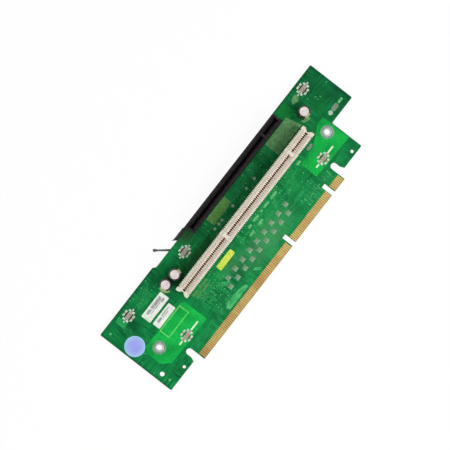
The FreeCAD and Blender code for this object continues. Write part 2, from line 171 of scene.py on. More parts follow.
# %% Graphs
class Graph:
    """A node tree, with one method that makes any node and others for nodes that come often."""

    def __init__(self, tree):
        self.tree = tree

    def node(self, kind, settings=None, inputs=None, output=0):
        """Makes a node from its type, its settings and what goes into its sockets."""
        node = self.tree.nodes.new(kind)
        for name, value in (settings or {}).items():
            setattr(node, name, value)
        for name, value in (inputs or {}).items():
            self.feed(node.inputs[name], value)
        return Value(self, node.outputs[output])

    def feed(self, socket, value):
        """Links a value, or each of a list of values, or sets a plain number or colour."""
        for one in value if isinstance(value, list) else [value]:
            if isinstance(one, Value):
                self.tree.links.new(one.socket, socket)
            else:
                socket.default_value = one

    def vector(self, x, y, z):
        """Vector from three numbers."""
        return self.node("ShaderNodeCombineXYZ", {}, {0: x, 1: y, 2: z})

    def axis(self, vector, number):
        """One of a vector's three numbers: 0 for X, 1 for Y and 2 for Z."""
        return self.node("ShaderNodeSeparateXYZ", {}, {0: vector}, output=number)

    def vectors(self, operation, first, second, output=0):
        """Vector Math on two vectors."""
        pair = {0: first, 1: second}
        return self.node("ShaderNodeVectorMath", {"operation": operation}, pair, output=output)

    def blend(self, factor, first, second):
        """Mix of two colours."""
        return self.node("ShaderNodeMix", {"data_type": "RGBA"}, {0: factor, 6: first, 7: second}, output=2)

    def steps(self, value, low, high):
        """The value stretched so that low becomes 0 and high becomes 1, and held there."""
        return self.node("ShaderNodeMapRange", {"clamp": True}, {0: value, 1: low, 2: high})


print("graph class ready")

# %% [markdown]
# ## Finishes
# A finish is a Principled surface with its colour, roughness and bump made from noise in the piece's own
# coordinates, so it stays put when the card turns. Colours are written as 0 to 255, as a picture editor
# shows them, and turned into the linear numbers that the renderer wants.


# %% Finish class
def paint(red, green, blue):
    """Linear colour from the numbers that a picture editor shows."""
    parts = [channel / 255 for channel in (red, green, blue)]
    linear = [part / 12.92 if part < 0.04045 else ((part + 0.055) / 1.055) ** 2.4 for part in parts]
    return (*linear, 1)


class Finish(Graph):
    """A material with its Principled surface."""

    def __init__(self, name, metallic=0.0, coat=0.0, specular=0.5):
        self.material = bpy.data.materials.new(name)
        self.material.use_nodes = True
        super().__init__(self.material.node_tree)
        self.surface = self.tree.nodes["Principled BSDF"]
        self.surface.inputs["Metallic"].default_value = metallic
        self.surface.inputs["Coat Weight"].default_value = coat
        self.surface.inputs["Specular IOR Level"].default_value = specular
        self.place = self.node("ShaderNodeTexCoord", output="Object")

    def noise(self, grain, detail=2.0, stretch=(1, 1, 1)):
        """Noise with blotches about this many millimetres wide, drawn out along an axis by its stretch."""
        shrink = tuple(1 / part for part in stretch)
        place = self.node("ShaderNodeMapping", {}, {"Vector": self.place, "Scale": shrink})
        sizes = {"Vector": place, "Scale": 1 / (grain * mm), "Detail": detail}
        return self.node("ShaderNodeTexNoise", {}, sizes)

    def wear(self, colour, roughness, height=None, depth=0.02):
        """Sets what varies: the colour, the roughness and a bump of this many millimetres."""
        self.feed(self.surface.inputs["Base Color"], colour)
        self.feed(self.surface.inputs["Roughness"], roughness)
        if height is not None:
            bump = self.node("ShaderNodeBump", {}, {"Distance": depth * mm, "Height": height})
            self.feed(self.surface.inputs["Normal"], bump)
        return self

    def tint(self, factor, colour):
        """Blends the base colour towards another one, as far as the factor says."""
        base = self.surface.inputs["Base Color"]
        self.feed(base, self.blend(factor, Value(self, base.links[0].from_socket), colour))


print("finish class ready")


# %% Mottled finish
def mottled(
    name, dark, light, grain, rough, metallic=0.0, coat=0.0, depth=0.01, stretch=(1, 1, 1), specular=0.5
):
    """Finish that wanders between two colours and two roughnesses, with a fine bump."""
    finish = Finish(name, metallic, coat, specular)
    blotch = finish.steps(finish.noise(grain, 3.0, stretch), 0.3, 0.7)
    fine = finish.noise(grain / 6, 2.0, stretch)
    colour = finish.blend(blotch, paint(*dark), paint(*light))
    return finish.wear(colour, rough[0] + (rough[1] - rough[0]) * fine, fine, depth)


print("mottled finish ready")

# %% [markdown]
# ## Solder mask
# The board is glass cloth and resin under a green lacquer. Over bare cloth the green is deep, and over
# copper it is bright, so the copper is laid on later as real thin plates with a finish of their own. The
# cut edges of the board show the tan layers of the cloth, which the finish finds by asking which way a
# face looks. Fine streaks in the green, some along the board and some across it, stand for the many
# lines of copper that lie deeper. Soft borders make it darker near the bare edges and the right end, and
# ovals make it paler where there is much copper. Dark ovals round the touch disc, by the switch and in
# the band beside the ivory slot are painted shade.

# %% Regions of the mask
mask_shine = 0.08
streak_width, streak_length = 0.7, 16
bare_border = 2.2 * mm
end_fade_start, end_fade_full = at(186, 0)[0], at(204, 0)[0]
oval_core = 0.3
mask = Finish("solder_mask", specular=mask_shine)


def soft_oval(along, depth, long_reach, deep_reach):
    """Soft oval on the mask, 1 in its middle and 0 at its reach, from board readings in millimetres."""
    x, y = at(along, depth)
    reach = (long_reach * mm, deep_reach * mm, 1)
    share = mask.vectors("DIVIDE", mask.place, reach)
    distance = mask.vectors("DISTANCE", share, (x / reach[0], y / reach[1], board_top), output=1)
    return mask.steps(distance, 1.0, oval_core)


mask_x = mask.axis(mask.place, 0)
mask_y = mask.axis(mask.place, 1)
cloud = mask.steps(mask.noise(16, 3.0), 0.35, 0.68)
streak_pick = mask.steps(mask.noise(11, 1.0), 0.44, 0.56)
streaks_along = mask.noise(streak_width, 1.0, (streak_length, 1, 1))
streaks_across = mask.noise(streak_width, 1.0, (1, streak_length, 1))
grain = streaks_along * streak_pick + streaks_across * (1 - streak_pick)
bare_edges_and_disc_shade = mask.steps(abs(mask_x), board_high.x - bare_border, board_high.x)
bare_edges_and_disc_shade = bare_edges_and_disc_shade + mask.steps(mask_y, board_high.y - bare_border, board_high.y)
bare_edges_and_disc_shade = bare_edges_and_disc_shade + 0.7 * mask.steps(mask_x, end_fade_start, end_fade_full)
# painted shade: a dark oval round the touch disc
bare_edges_and_disc_shade = bare_edges_and_disc_shade + 0.8 * soft_oval(14, 15, 10, 10)
dense_copper = soft_oval(113, 46, 30, 11) + 0.8 * soft_oval(86, 38, 12, 6)
# painted shade: dark ovals by the switch and in the band where the ivory slot's shadow falls
painted_shade = soft_oval(83, 3, 10, 8) + 0.7 * soft_oval(78, 18, 26, 5)
print("mask regions ready")

# %% Mask over bare cloth
upright = 0.9
cloth_weave = 0.45 * mm
mask_green = mask.blend(cloud, paint(0, 98, 48), paint(8, 134, 66))
for share, region, colour in (
    (0.5, mask.steps(grain, 0.5, 0.72), (34, 166, 90)),
    (0.5, mask.steps(grain, 0.5, 0.3), (0, 66, 38)),
    # darker near the bare edges and the right end, and painted shade round the touch disc
    (0.6, mask.steps(bare_edges_and_disc_shade, 0.0, 1.0), (0, 56, 36)),
    (0.3, dense_copper, (96, 176, 116)),
    # painted shade: a brownish dark by the switch and beside the ivory slot
    (0.7, painted_shade, (38, 42, 26)),
):
    mask_green = mask.blend(share * region, mask_green, paint(*colour))
facing = mask.node("ShaderNodeNewGeometry", output="Normal")
is_face = abs(mask.axis(facing, 2)) > upright
cut_edge = mask.blend(mask.noise(0.12, 1.0, (30, 30, 1)), paint(116, 108, 62), paint(176, 160, 104))
cloth = mask.node("ShaderNodeTexChecker", {}, {"Vector": mask.place, "Scale": 1 / cloth_weave}, output=1)
mask.wear(mask.blend(is_face, cut_edge, mask_green), 0.36 + 0.14 * grain, 0.4 * cloth + grain, 0.006)
print("solder mask ready")


# %% Mask over copper
def lacquer(name, dark, light, scale):
    """Mask over copper, which is brighter than the mask over bare cloth."""
    finish = Finish(name, specular=mask_shine)
    broad = finish.steps(finish.noise(scale, 3.0), 0.32, 0.68)
    fine = finish.noise(0.9, 3.0)
    green = finish.blend(broad, paint(*dark), paint(*light))
    green = finish.blend(0.5 * finish.steps(fine, 0.52, 0.3), green, paint(0, 108, 48))
    return finish.wear(green, 0.34 + 0.12 * fine, fine, 0.008)


copper_mask = lacquer("mask_over_copper", (4, 146, 60), (24, 190, 78), 12)
dim_mask = lacquer("mask_over_deep_copper", (4, 104, 42), (20, 126, 52), 5)
trace_mask = lacquer("mask_over_traces", (16, 140, 70), (54, 170, 98), 4)
broad_mask = lacquer("mask_over_broad_traces", (40, 156, 88), (92, 190, 120), 3)
print("masks over copper ready")

# %% [markdown]
# ## Metals, plastics and inks
# The other finishes are few and simple: plated gold that is rubbed along the way a card slides, dull
# solder tin, pale and black moulded plastic, a black film sleeve, fired ceramic and screen ink. Each one
# has some blotch, some grain and a little bump, because no real surface is one flat colour.

# %% Other finishes
gold = mottled(
    "finger_gold", (188, 132, 78), (208, 168, 102), 7, (0.34, 0.5), metallic=0.55, stretch=(1, 3, 1)
)
spring_gold = mottled("spring_gold", (216, 188, 168), (246, 228, 210), 6, (0.4, 0.55), metallic=0.25)
tin = mottled("solder_tin", (186, 198, 186), (226, 232, 224), 0.9, (0.45, 0.6), metallic=0.3, depth=0.03)
# painted shade: the black slot's contacts take a darker copy of the gold, as they lie in shade
shaded_gold_paint = mottled("shaded_gold", (92, 62, 44), (138, 98, 66), 2, (0.4, 0.55), metallic=0.8)
dull_tin = mottled("dull_tin", (118, 160, 130), (160, 190, 160), 0.7, (0.4, 0.6), metallic=0.2, depth=0.03)
land_tin = mottled("land_tin", (166, 196, 172), (214, 228, 210), 1.1, (0.45, 0.6), depth=0.02)
# lighter tin for the eyelets' lip: partly brighter solder and partly a painted highlight
lip_tin = mottled("lip_tin", (146, 160, 156), (182, 190, 188), 1.2, (0.4, 0.55), metallic=0.2, depth=0.02)
ring_tin = mottled("ring_tin", (94, 126, 104), (140, 168, 148), 1.6, (0.36, 0.52), metallic=0.5, depth=0.03)
ivory = mottled("ivory_plastic", (200, 188, 172), (230, 224, 208), 1.2, (0.4, 0.55), depth=0.012)
black = mottled("black_plastic", (8, 5, 7), (30, 22, 26), 2, (0.5, 0.65), depth=0.015, specular=0.25)
sleeve_film = mottled("sleeve_film", (20, 16, 18), (44, 38, 42), 3, (0.3, 0.45), coat=0.15)
can_metal = mottled("can_aluminium", (208, 197, 196), (232, 223, 220), 1.2, (0.35, 0.5), metallic=0.3)
array_ceramic = mottled("array_ceramic", (84, 130, 96), (122, 152, 118), 0.6, (0.5, 0.65))
resin = mottled("tantalum_resin", (140, 116, 106), (184, 162, 150), 0.8, (0.4, 0.6))
chip_ceramic = mottled("chip_ceramic", (136, 116, 100), (178, 158, 138), 0.6, (0.4, 0.6))
switch_black = mottled("switch_plastic", (22, 20, 24), (42, 40, 44), 1.5, (0.4, 0.6))
lever_grey = mottled("lever_plastic", (52, 54, 56), (84, 86, 88), 1.5, (0.35, 0.55))
steel = mottled("pin_steel", (150, 150, 152), (190, 190, 192), 0.4, (0.25, 0.4), metallic=1.0)
bronze = mottled("leaf_bronze", (150, 98, 56), (196, 140, 86), 0.5, (0.3, 0.45), metallic=1.0)
via_mask = mottled("via_mask", (26, 144, 76), (92, 186, 112), 2.5, (0.3, 0.45))
paper = mottled("label_paper", (202, 214, 200), (236, 242, 232), 2.5, (0.6, 0.75))
label_grey = mottled("label_print", (128, 126, 132), (184, 182, 186), 1.2, (0.6, 0.8))
yellow_ink = mottled("yellow_ink", (168, 204, 44), (222, 234, 84), 1.6, (0.5, 0.7))
pale_ink = mottled("pale_green_ink", (58, 192, 76), (112, 222, 98), 1.1, (0.5, 0.7))
white_ink = mottled("white_ink", (176, 232, 180), (222, 248, 216), 0.9, (0.5, 0.7))
grey_ink = mottled("grey_ink", (84, 116, 92), (120, 142, 118), 1.4, (0.5, 0.7))
olive_ink = mottled("olive_ink", (60, 132, 38), (96, 164, 62), 1.6, (0.5, 0.65))
sage_ink = mottled("sage_ink", (66, 124, 66), (104, 170, 102), 2.0, (0.5, 0.65))
mark_ink = mottled("mark_ink", (30, 146, 74), (112, 198, 126), 1.1, (0.5, 0.65))
faded_ink = mottled("faded_ink", (14, 126, 58), (74, 142, 60), 1.3, (0.5, 0.65))
stripe_ink = mottled("stripe_ink", (134, 148, 96), (172, 180, 128), 1.0, (0.4, 0.55))
haze_ink = mottled("haze_ink", (132, 170, 142), (178, 202, 178), 1.2, (0.5, 0.65))
print("other finishes ready")

# %% [markdown]
# The ivory slot isn't one even colour. A greyer band runs along the middle of both its rails, and only
# its ends stay clean, so its finish takes a tint by the distance from the slit and from both ends.

# %% Greyer rails of the ivory slot
ivory_low, ivory_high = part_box("ivory_slot_housing")
ivory_middle = (ivory_low + ivory_high) / 2
ivory_reach = (ivory_high.x - ivory_low.x) / 2
rail_start, rail_full = 2.0 * mm, 2.5 * mm
rail_fade, rail_end = 3.0 * mm, 3.6 * mm
clean_end = 3.0 * mm
from_middle = abs(ivory.axis(ivory.place, 0) - ivory_middle.x)
from_slit = abs(ivory.axis(ivory.place, 1) - ivory_middle.y)
rail = ivory.steps(from_slit, rail_start, rail_full) - ivory.steps(from_slit, rail_fade, rail_end)
between_ends = ivory.steps(from_middle, ivory_reach - clean_end / 2, ivory_reach - clean_end)
ivory.tint(0.65 * rail * between_ends, paint(164, 162, 146))
print("ivory rails tinted")

# %% [markdown]
# ## Mesh stock
# Plain shapes are gathered as vertices and faces: prisms that stand on the board, bars that run along it,
# and turned shapes for what comes off a lathe. Round outlines are worked out from a middle, a radius and
# some angles.


# %% Outlines
def spoke(middle, radius, turn):
    """Point at a distance from a middle, in the direction of an angle."""
    return middle[0] + radius * math.cos(turn), middle[1] + radius * math.sin(turn)


def sweep(start, end, steps):
    """Angles in radians at even steps between two angles in degrees."""
    return [math.radians(start + (end - start) * i / steps) for i in range(steps + 1)]


def circle(middle, radius, sides=32):
    """Outline of a circle."""
    return [spoke(middle, radius, turn) for turn in sweep(0, 360, sides)[:-1]]


def level_ring(x, y, z):
    """Rectangle round the Z axis at one height, from its half sizes."""
    return [(-x, -y, z), (x, -y, z), (x, y, z), (-x, y, z)]


print("outlines ready")


# %% Stock class
class Stock:
    """Vertices and faces of one piece, gathered shape by shape."""

    def __init__(self):
        self.points = []
        self.faces = []

    def add(self, points, faces):
        """Adds points and the faces over them, which count from the first of these points."""
        first = len(self.points)
        self.points += points
        self.faces += [[first + i for i in face] for face in faces]
        return self

    def loft(self, *rings):
        """Closed skin over rings of as many points each, with a flat cap at both ends."""
        count = len(rings[0])
        faces = [range(count), range(count * (len(rings) - 1), count * len(rings))]
        for level in range(len(rings) - 1):
            for i in range(count):
                corners = (i, (i + 1) % count, (i + 1) % count + count, i + count)
                faces.append([level * count + corner for corner in corners])
        return self.add([point for ring in rings for point in ring], faces)

    def prism(self, outline, low, high):
        """Upright prism on an outline of (x, y) points."""
        return self.loft([(x, y, low) for x, y in outline], [(x, y, high) for x, y in outline])

    def box(self, low, high):
        """Box between two opposite corners."""
        outline = [(low[0], low[1]), (high[0], low[1]), (high[0], high[1]), (low[0], high[1])]
        return self.prism(outline, low[2], high[2])

    def bar(self, section, start, end):
        """Bar along X on a section of (y, z) points."""
        return self.loft([(start, y, z) for y, z in section], [(end, y, z) for y, z in section])

    def turned(self, profile, middle, sides, ring=False):
        """Turned shape from (radius, height) points: from pole to pole, or round and back for a ring."""
        points = []
        rings = []
        for radius, height in profile:
            count = sides if radius > 0 else 1
            rings.append([len(points) + i for i in range(count)])
            points += [(*spot, height) for spot in circle(middle, radius, sides)[:count]]
        faces = []
        for inner, outer in zip(rings, rings[1:] + (rings[:1] if ring else [])):
            for i in range(sides):
                j = (i + 1) % sides
                near = [inner[i % len(inner)], inner[j % len(inner)]]
                far = [outer[j % len(outer)], outer[i % len(outer)]]
                faces.append(list(dict.fromkeys(near + far)))
        return self.add(points, faces)

    def mesh(self, name):
        """Plain mesh of what was gathered."""
        mesh = bpy.data.meshes.new(name)
        mesh.from_pydata(self.points, [], self.faces)
        return mesh


print("stock class ready")

# %% [markdown]
# A finished piece is one mesh with one finish. It may be joined from several meshes, then its faces are
# pointed outwards and the edges that stay sharp are marked by their angle.


# %% Finished pieces
def joined(name, meshes):
    """One mesh from several, with faces outwards."""
    gathered = bmesh.new()
    for mesh in meshes:
        gathered.from_mesh(mesh)
    bmesh.ops.recalc_face_normals(gathered, faces=gathered.faces)
    whole = bpy.data.meshes.new(name)
    gathered.to_mesh(whole)
    gathered.free()
    return whole


def piece(name, meshes, finish, replaced=(), sharp=35, bend=None):
    """Piece that may stand in for CAD nodes. It rides on the card, or, given a bend, stays in place on no
    body.
    """
    mesh = joined(name, meshes)
    mesh.materials.clear()
    mesh.materials.append(finish.material)
    mesh.polygons.foreach_set("use_smooth", [True] * len(mesh.polygons))
    mesh.set_sharp_from_angle(angle=math.radians(sharp))
    made = bpy.data.objects.new(name, mesh)
    stage_objects.link(made)
    if bend:
        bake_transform(made)
    else:
        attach(made, "card")
    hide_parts(*replaced)
    print(name, "has", len(mesh.polygons), "faces")
    return made


print("piece functions ready")

# %% [markdown]
# ## Flat plates with holes
# Copper areas, print and labels are flat and thin, and some have holes or are mere frames. Blender's flat
# curves fill an outline and leave its inner outlines open, so a plate is drawn as a curve, thickened and
# turned into a mesh before it goes anywhere.

# %% Flat plate
same_point = 0.001 * mm


def evaluated_mesh(carrier):
    """Mesh of an object with its modifiers, after which the object is removed."""
    stage_objects.link(carrier)
    graph = bpy.context.evaluated_depsgraph_get()
    mesh = bpy.data.meshes.new_from_object(carrier.evaluated_get(graph))
    bpy.data.objects.remove(carrier)
    return mesh


def plate(outlines, low, high):
    """Mesh of a flat plate between two heights: the first outline is its edge and the others are holes."""
    curve = bpy.data.curves.new("plate", "CURVE")
    curve.dimensions = "2D"
    curve.fill_mode = "BOTH"
    curve.extrude = (high - low) / 2
    for outline in outlines:
        spline = curve.splines.new("POLY")
        spline.points.add(len(outline) - 1)
        for point, (x, y) in zip(spline.points, outline):
            point.co = (x, y, 0, 1)
        spline.use_cyclic_u = True
    mesh = evaluated_mesh(bpy.data.objects.new("plate", curve))
    gathered = bmesh.new()
    gathered.from_mesh(mesh)
    bmesh.ops.remove_doubles(gathered, verts=gathered.verts, dist=same_point)
    bmesh.ops.translate(gathered, verts=gathered.verts, vec=(0, 0, (low + high) / 2))
    gathered.to_mesh(mesh)
    gathered.free()
    return mesh


print("plates ready, with points merged below", same_point / mm, "mm")


# %% Rectangles
def cut_rectangle(left, first, right, last, cut):
    """Outline of a rectangle with its corners cut by so much, or left square."""
    corners = []
    for x, y, dx, dy in (
        (left, first, 1, 1),
        (right, first, -1, 1),
        (right, last, -1, -1),
        (left, last, 1, -1),
    ):
        ends = [(x, y + dy * cut), (x + dx * cut, y)]
        corners += ends if dx * dy > 0 else ends[::-1]
    return corners if cut else corners[::2]


def field(left, top, right, bottom, corner=0.0):
    """Outline of a rectangle from board readings, with its corners cut by so many millimetres."""
    return [at(*spot) for spot in cut_rectangle(left, top, right, bottom, corner)]


print("rectangles ready")

# %% [markdown]
# ## Rows and places by Geometry Nodes
# Contacts, ribs, fingers and solder joints come in hundreds, at one pitch, with gaps where a key is. A
# node tree does that better than a loop: its template is the first copy, and its named inputs are the
# counts, the pitch and the gaps. A second tree sets copies on any list of places, and both end as plain
# meshes.


# %% Growth class
class Growth(Graph):
    """A geometry tree with named inputs, which ends in Realize Instances and Set Material."""

    def __init__(self, name):
        super().__init__(bpy.data.node_groups.new(name, "GeometryNodeTree"))
        self.entry = self.tree.nodes.new("NodeGroupInput")

    def size(self, kind, name):
        """One named input."""
        self.tree.interface.new_socket(name, in_out="INPUT", socket_type="NodeSocket" + kind)
        return Value(self, self.entry.outputs[name])

    def sizes(self, kind, *names):
        """Several named inputs of one kind."""
        return [self.size(kind, name) for name in names]

    def line(self, count, start, pitch):
        """Points along X at a pitch."""
        steps = {"Count": count, "Start Location": start, "Offset": self.vector(pitch, 0.0, 0.0)}
        return self.node("GeometryNodeMeshLine", {"mode": "OFFSET"}, steps)

    def close(self, geometry):
        """Ends the tree in plain geometry with the finish on it."""
        finish = self.size("Material", "Finish")
        self.tree.interface.new_socket("Result", in_out="OUTPUT", socket_type="NodeSocketGeometry")
        real = self.node("GeometryNodeRealizeInstances", {}, {0: geometry})
        dressed = self.node("GeometryNodeSetMaterial", {}, {"Geometry": real, "Material": finish})
        leave = self.tree.nodes.new("NodeGroupOutput")
        self.feed(leave.inputs[0], dressed)
        return self

    def close_with_copies(self, points, shape):
        """Ends the tree with a copy of the shape on each point."""
        copied = {"Points": points, "Instance": shape}
        return self.close(self.node("GeometryNodeInstanceOnPoints", {}, copied))

    def grow(self, template, finish, **sizes):
        """Runs the tree on a template mesh and gives the result as a plain mesh."""
        carrier = bpy.data.objects.new("carrier", template)
        modifier = carrier.modifiers.new("growth", "NODES")
        modifier.node_group = self.tree
        sizes["Finish"] = finish.material
        for item in self.tree.interface.items_tree:
            if item.in_out == "INPUT" and item.name in sizes:
                modifier[item.identifier] = sizes[item.name]
        return evaluated_mesh(carrier)


print("growth class ready")

# %% Row and place trees
stretch_names = ("First", "Second", "Third")


def row_tree():
    """Copies of a shape in three stretches at one pitch, with a gap after each stretch."""
    tree = Growth("row_with_gaps")
    shape = tree.size("Geometry", "Shape")
    pitch = tree.size("Float", "Pitch")
    start = 0.0
    lines = []
    for name in stretch_names:
        count = tree.size("Int", name + "_Count")
        gap = tree.size("Float", name + "_Gap")
        lines.append(tree.line(count, tree.vector(start, 0.0, 0.0), pitch))
        start = start + (count - 1) * pitch + gap
    points = tree.node("GeometryNodeJoinGeometry", {}, {0: lines})
    return tree.close_with_copies(points, shape)


def place_tree():
    """Copies of a shape at the vertices of another object."""
    tree = Growth("copies_at_places")
    shape = tree.size("Geometry", "Shape")
    places = tree.size("Object", "Places")
    points = tree.node("GeometryNodeObjectInfo", {}, {0: places}, output="Geometry")
    return tree.close_with_copies(points, shape)


row = row_tree()
spread = place_tree()
print("row tree has", len(row.tree.nodes), "nodes")
print("place tree has", len(spread.tree.nodes), "nodes")


# %% Rows and copies
def in_row(template, finish, pitch, counts, gaps):
    """Mesh of a template in up to three stretches of a row: their counts, and the gaps after them."""
    sizes = {"Pitch": pitch}
    for name, count, gap in zip(stretch_names, [*counts, 0, 0], [*gaps, 0.0, 0.0]):
        sizes[name + "_Count"] = count
        sizes[name + "_Gap"] = gap
    return row.grow(template, finish, **sizes)


def copies(template, finish, places):
    """Mesh of a template, made round the origin, at each of a list of (x, y, z) places."""
    points = bpy.data.meshes.new("places")
    points.from_pydata(places, [], [])
    holder = bpy.data.objects.new("places", points)
    stage_objects.link(holder)
    mesh = spread.grow(template, finish, Places=holder)
    bpy.data.objects.remove(holder)
    return mesh


def copied_piece(name, stock, finish, places, replaced=()):
    """Piece of a template's copies at each of a list of places."""
    return piece(name, [copies(stock.mesh(name), finish, places)], finish, replaced)


print("rows and copies ready")

# %% [markdown]
# ## The two card slots
# Both slots are long mouldings with a slit for the card's edge, pockets for the contacts along both sides
# of it, solid keys between the sections, and fine ribs on the outside. The plan of a slot holds its
# readings once: where its first contact is, its pitch, and how many contacts stand between the keys.

# %% Slot plans
slit_end_room = 1.5 * mm
slit_key_room = 0.7 * mm


class SlotPlan:
    """Readings of one slot, in metres, from its CAD node and its pattern in millimetres."""

    def __init__(self, node, counts, pitch, key_gap, end_margin, contact_width, floor, pocket_back, comb):
        low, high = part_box(node)
        self.node = node
        self.left, self.right, self.top = low.x, high.x, high.z
        self.axis = (low.y + high.y) / 2
        self.half = (high.y - low.y) / 2
        self.peg_bottom = low.z
        self.counts = counts
        self.pitch = pitch * mm
        self.key_gap = key_gap * mm
        self.margin = end_margin * mm
        self.contact_width = contact_width * mm
        self.floor = board_top + floor * mm
        self.pocket_back = pocket_back * mm
        self.comb = comb * mm
        self.sections = []
        place = self.left + self.margin
        for count in counts:
            last = place + (count - 1) * self.pitch
            self.sections.append((place, last))
            place = last + self.key_gap
        self.slits = [[first - slit_key_room, last + slit_key_room] for first, last in self.sections]
        self.slits[0][0] = self.sections[0][0] - slit_end_room
        self.slits[-1][1] = self.sections[-1][1] + slit_end_room

    def row(self, template, finish, fewer=0):
        """Mesh of a template at each contact, or at each of the spaces between contacts with fewer=1."""
        counts = [count - fewer for count in self.counts]
        gap = self.key_gap + fewer * self.pitch
        return in_row(template, finish, self.pitch, counts, [gap] * (len(counts) - 1))


ivory_plan = SlotPlan(
    "ivory_slot_housing",
    counts=(32, 49, 11),
    pitch=1.27,
    key_gap=3.81,
    end_margin=3.8,
    contact_width=0.6,
    floor=4.0,
    pocket_back=2.1,
    comb=0.6,
)
black_plan = SlotPlan(
    "black_slot_housing",
    counts=(71, 11),
    pitch=1.0,
    key_gap=3.0,
    end_margin=3.0,
    contact_width=0.45,
    floor=3.0,
    pocket_back=2.1,
    comb=0.25,
)
print("ivory slot sections", [[round(x / mm, 2) for x in ends] for ends in ivory_plan.sections])

# %% [markdown]
# The moulding is built from its own logic. Two side walls run along each section. Between the pockets
# stand ribs with a slanted top, which lead the card in, and thin ribs on the outside stiffen the wall, as
# on a real moulding. Each kind of rib is one template grown along the row. Where a slot's contacts stay
# hidden, a closed lip covers its pockets.

# %% Walls of a slot
rim_cut = 0.3 * mm
wall_foot = board_top + 0.4 * mm


def both_sides(stock, plan, section, start, end):
    """Bar on both sides of a slot's slit, from a section of (distance from the middle, height) points."""
    for side in (-1, 1):
        stock.bar([(plan.axis + side * y, z) for y, z in section], start, end)
    return stock


def side_walls(plan):
    """Both long walls of each section, with a slanted rim, out to where the outer ribs start."""
    outer = plan.half - plan.comb
    section = [
        (plan.pocket_back, wall_foot),
        (outer, wall_foot),
        (outer, plan.top - rim_cut),
        (outer - rim_cut, plan.top),
        (plan.pocket_back, plan.top),
    ]
    stock = Stock()
    for start, end in plan.slits:
        both_sides(stock, plan, section, start, end)
    return stock.mesh("walls")


print("slot walls are", round((ivory_plan.top - wall_foot) / mm, 2), "mm high on the ivory slot")

# %% Ribs and lips of a slot
slit_half = 0.9 * mm
mouth_drop = 0.6 * mm
pocket_play = 0.1 * mm
lip_height = 1.4 * mm


def lead_in(plan, low):
    """Section of what borders the slit, with its slanted lead-in at the top."""
    return [
        (slit_half, low),
        (plan.pocket_back, low),
        (plan.pocket_back, plan.top),
        (slit_half + mouth_drop, plan.top),
        (slit_half, plan.top - mouth_drop),
    ]


def lead_in_ribs(plan, finish):
    """Ribs between the pockets on both sides of the slit."""
    half = plan.pitch / 2 - plan.contact_width / 2 - pocket_play
    middle = plan.sections[0][0] + plan.pitch / 2
    template = both_sides(Stock(), plan, lead_in(plan, plan.floor), middle - half, middle + half)
    return plan.row(template.mesh("ribs"), finish, fewer=1)


def pocket_roofs(plan):
    """Closed lip over the pockets of a slot whose contacts stay hidden."""
    stock = Stock()
    for start, end in plan.slits:
        both_sides(stock, plan, lead_in(plan, plan.top - lip_height), start, end)
    return stock.mesh("roofs")


def outer_ribs(plan, finish):
    """Thin upright ribs on the outside of both walls, half a pitch wide."""
    near = plan.half - plan.comb
    section = [
        (near, wall_foot),
        (plan.half, wall_foot),
        (plan.half, plan.top - 2 * rim_cut),
        (near, plan.top - rim_cut),
    ]
    half = plan.pitch / 4
    middle = plan.sections[0][0]
    template = both_sides(Stock(), plan, section, middle - half, middle + half)
    return plan.row(template.mesh("outer_ribs"), finish)


print("outer ribs are", round(ivory_plan.pitch / 2 / mm, 3), "mm wide on the ivory slot")

# %% [markdown]
# The floor, the keys and the end blocks close the slit. A key is a solid bar across the moulding, between
# two sections. An end block has an upright groove in its face, and below it stands a round peg that finds
# its hole in the board.

# %% Floor, keys and ends of a slot
peg_radius = 1.12 * mm
peg_sides = 20


def slit_blocks(plan):
    """Floor under the slit, the ends of each section's pockets and the keys between sections."""
    stock = Stock()
    back = plan.pocket_back
    edge = plan.contact_width / 2 + pocket_play
    for (first, last), (start, end) in zip(plan.sections, plan.slits):
        stock.box((start, plan.axis - back, wall_foot), (end, plan.axis + back, plan.floor))
        both_sides(stock, plan, lead_in(plan, plan.floor), start, first - edge)
        both_sides(stock, plan, lead_in(plan, plan.floor), last + edge, end)
    far, near = plan.axis - plan.half, plan.axis + plan.half
    key = [(far, board_top), (near, board_top), (near, plan.top - rim_cut), (near - rim_cut, plan.top)]
    key += [(far + rim_cut, plan.top), (far, plan.top - rim_cut)]
    for before, after in zip(plan.slits, plan.slits[1:]):
        stock.bar(key, before[1], after[0])
    return stock.mesh("blocks")


def end_blocks(plan, groove_depth, groove_half):
    """Solid block at both ends of the slit, with an upright V groove in its end face, and both pegs."""
    stock = Stock()
    tip = plan.peg_bottom
    peg_profile = [
        (0, tip),
        (peg_radius - rim_cut, tip),
        (peg_radius, tip + rim_cut),
        (peg_radius, board_top),
        (0, board_top),
    ]
    ends = ((plan.left, 1, plan.sections[0][0]), (plan.right, -1, plan.sections[-1][1]))
    for end, inward, contact in ends:
        half_block = [
            (contact - inward * slit_end_room, plan.half),
            (end + inward * rim_cut, plan.half),
            (end, plan.half - rim_cut),
            (end, groove_half),
        ]
        prongs = [(x, plan.axis + y) for x, y in half_block]
        prongs.append((end + inward * groove_depth, plan.axis))
        prongs += [(x, plan.axis - y) for x, y in half_block[::-1]]
        stock.prism(prongs, board_top, plan.top)
        stock.turned(peg_profile, (end + inward * plan.margin / 2, plan.axis), peg_sides)
    return stock.mesh("ends")


print("pegs are", round(2 * peg_radius / mm, 2), "mm thick")


# %% Slot housings
def slot_housing(name, plan, finish, groove_depth, groove_half, roofed):
    """Whole moulding of a slot, roofed over its pockets where its contacts stay hidden."""
    meshes = [side_walls(plan), lead_in_ribs(plan, finish), outer_ribs(plan, finish), slit_blocks(plan)]
    meshes.append(end_blocks(plan, groove_depth, groove_half))
    if roofed:
        meshes.append(pocket_roofs(plan))
    return piece(name, meshes, finish, [plan.node])


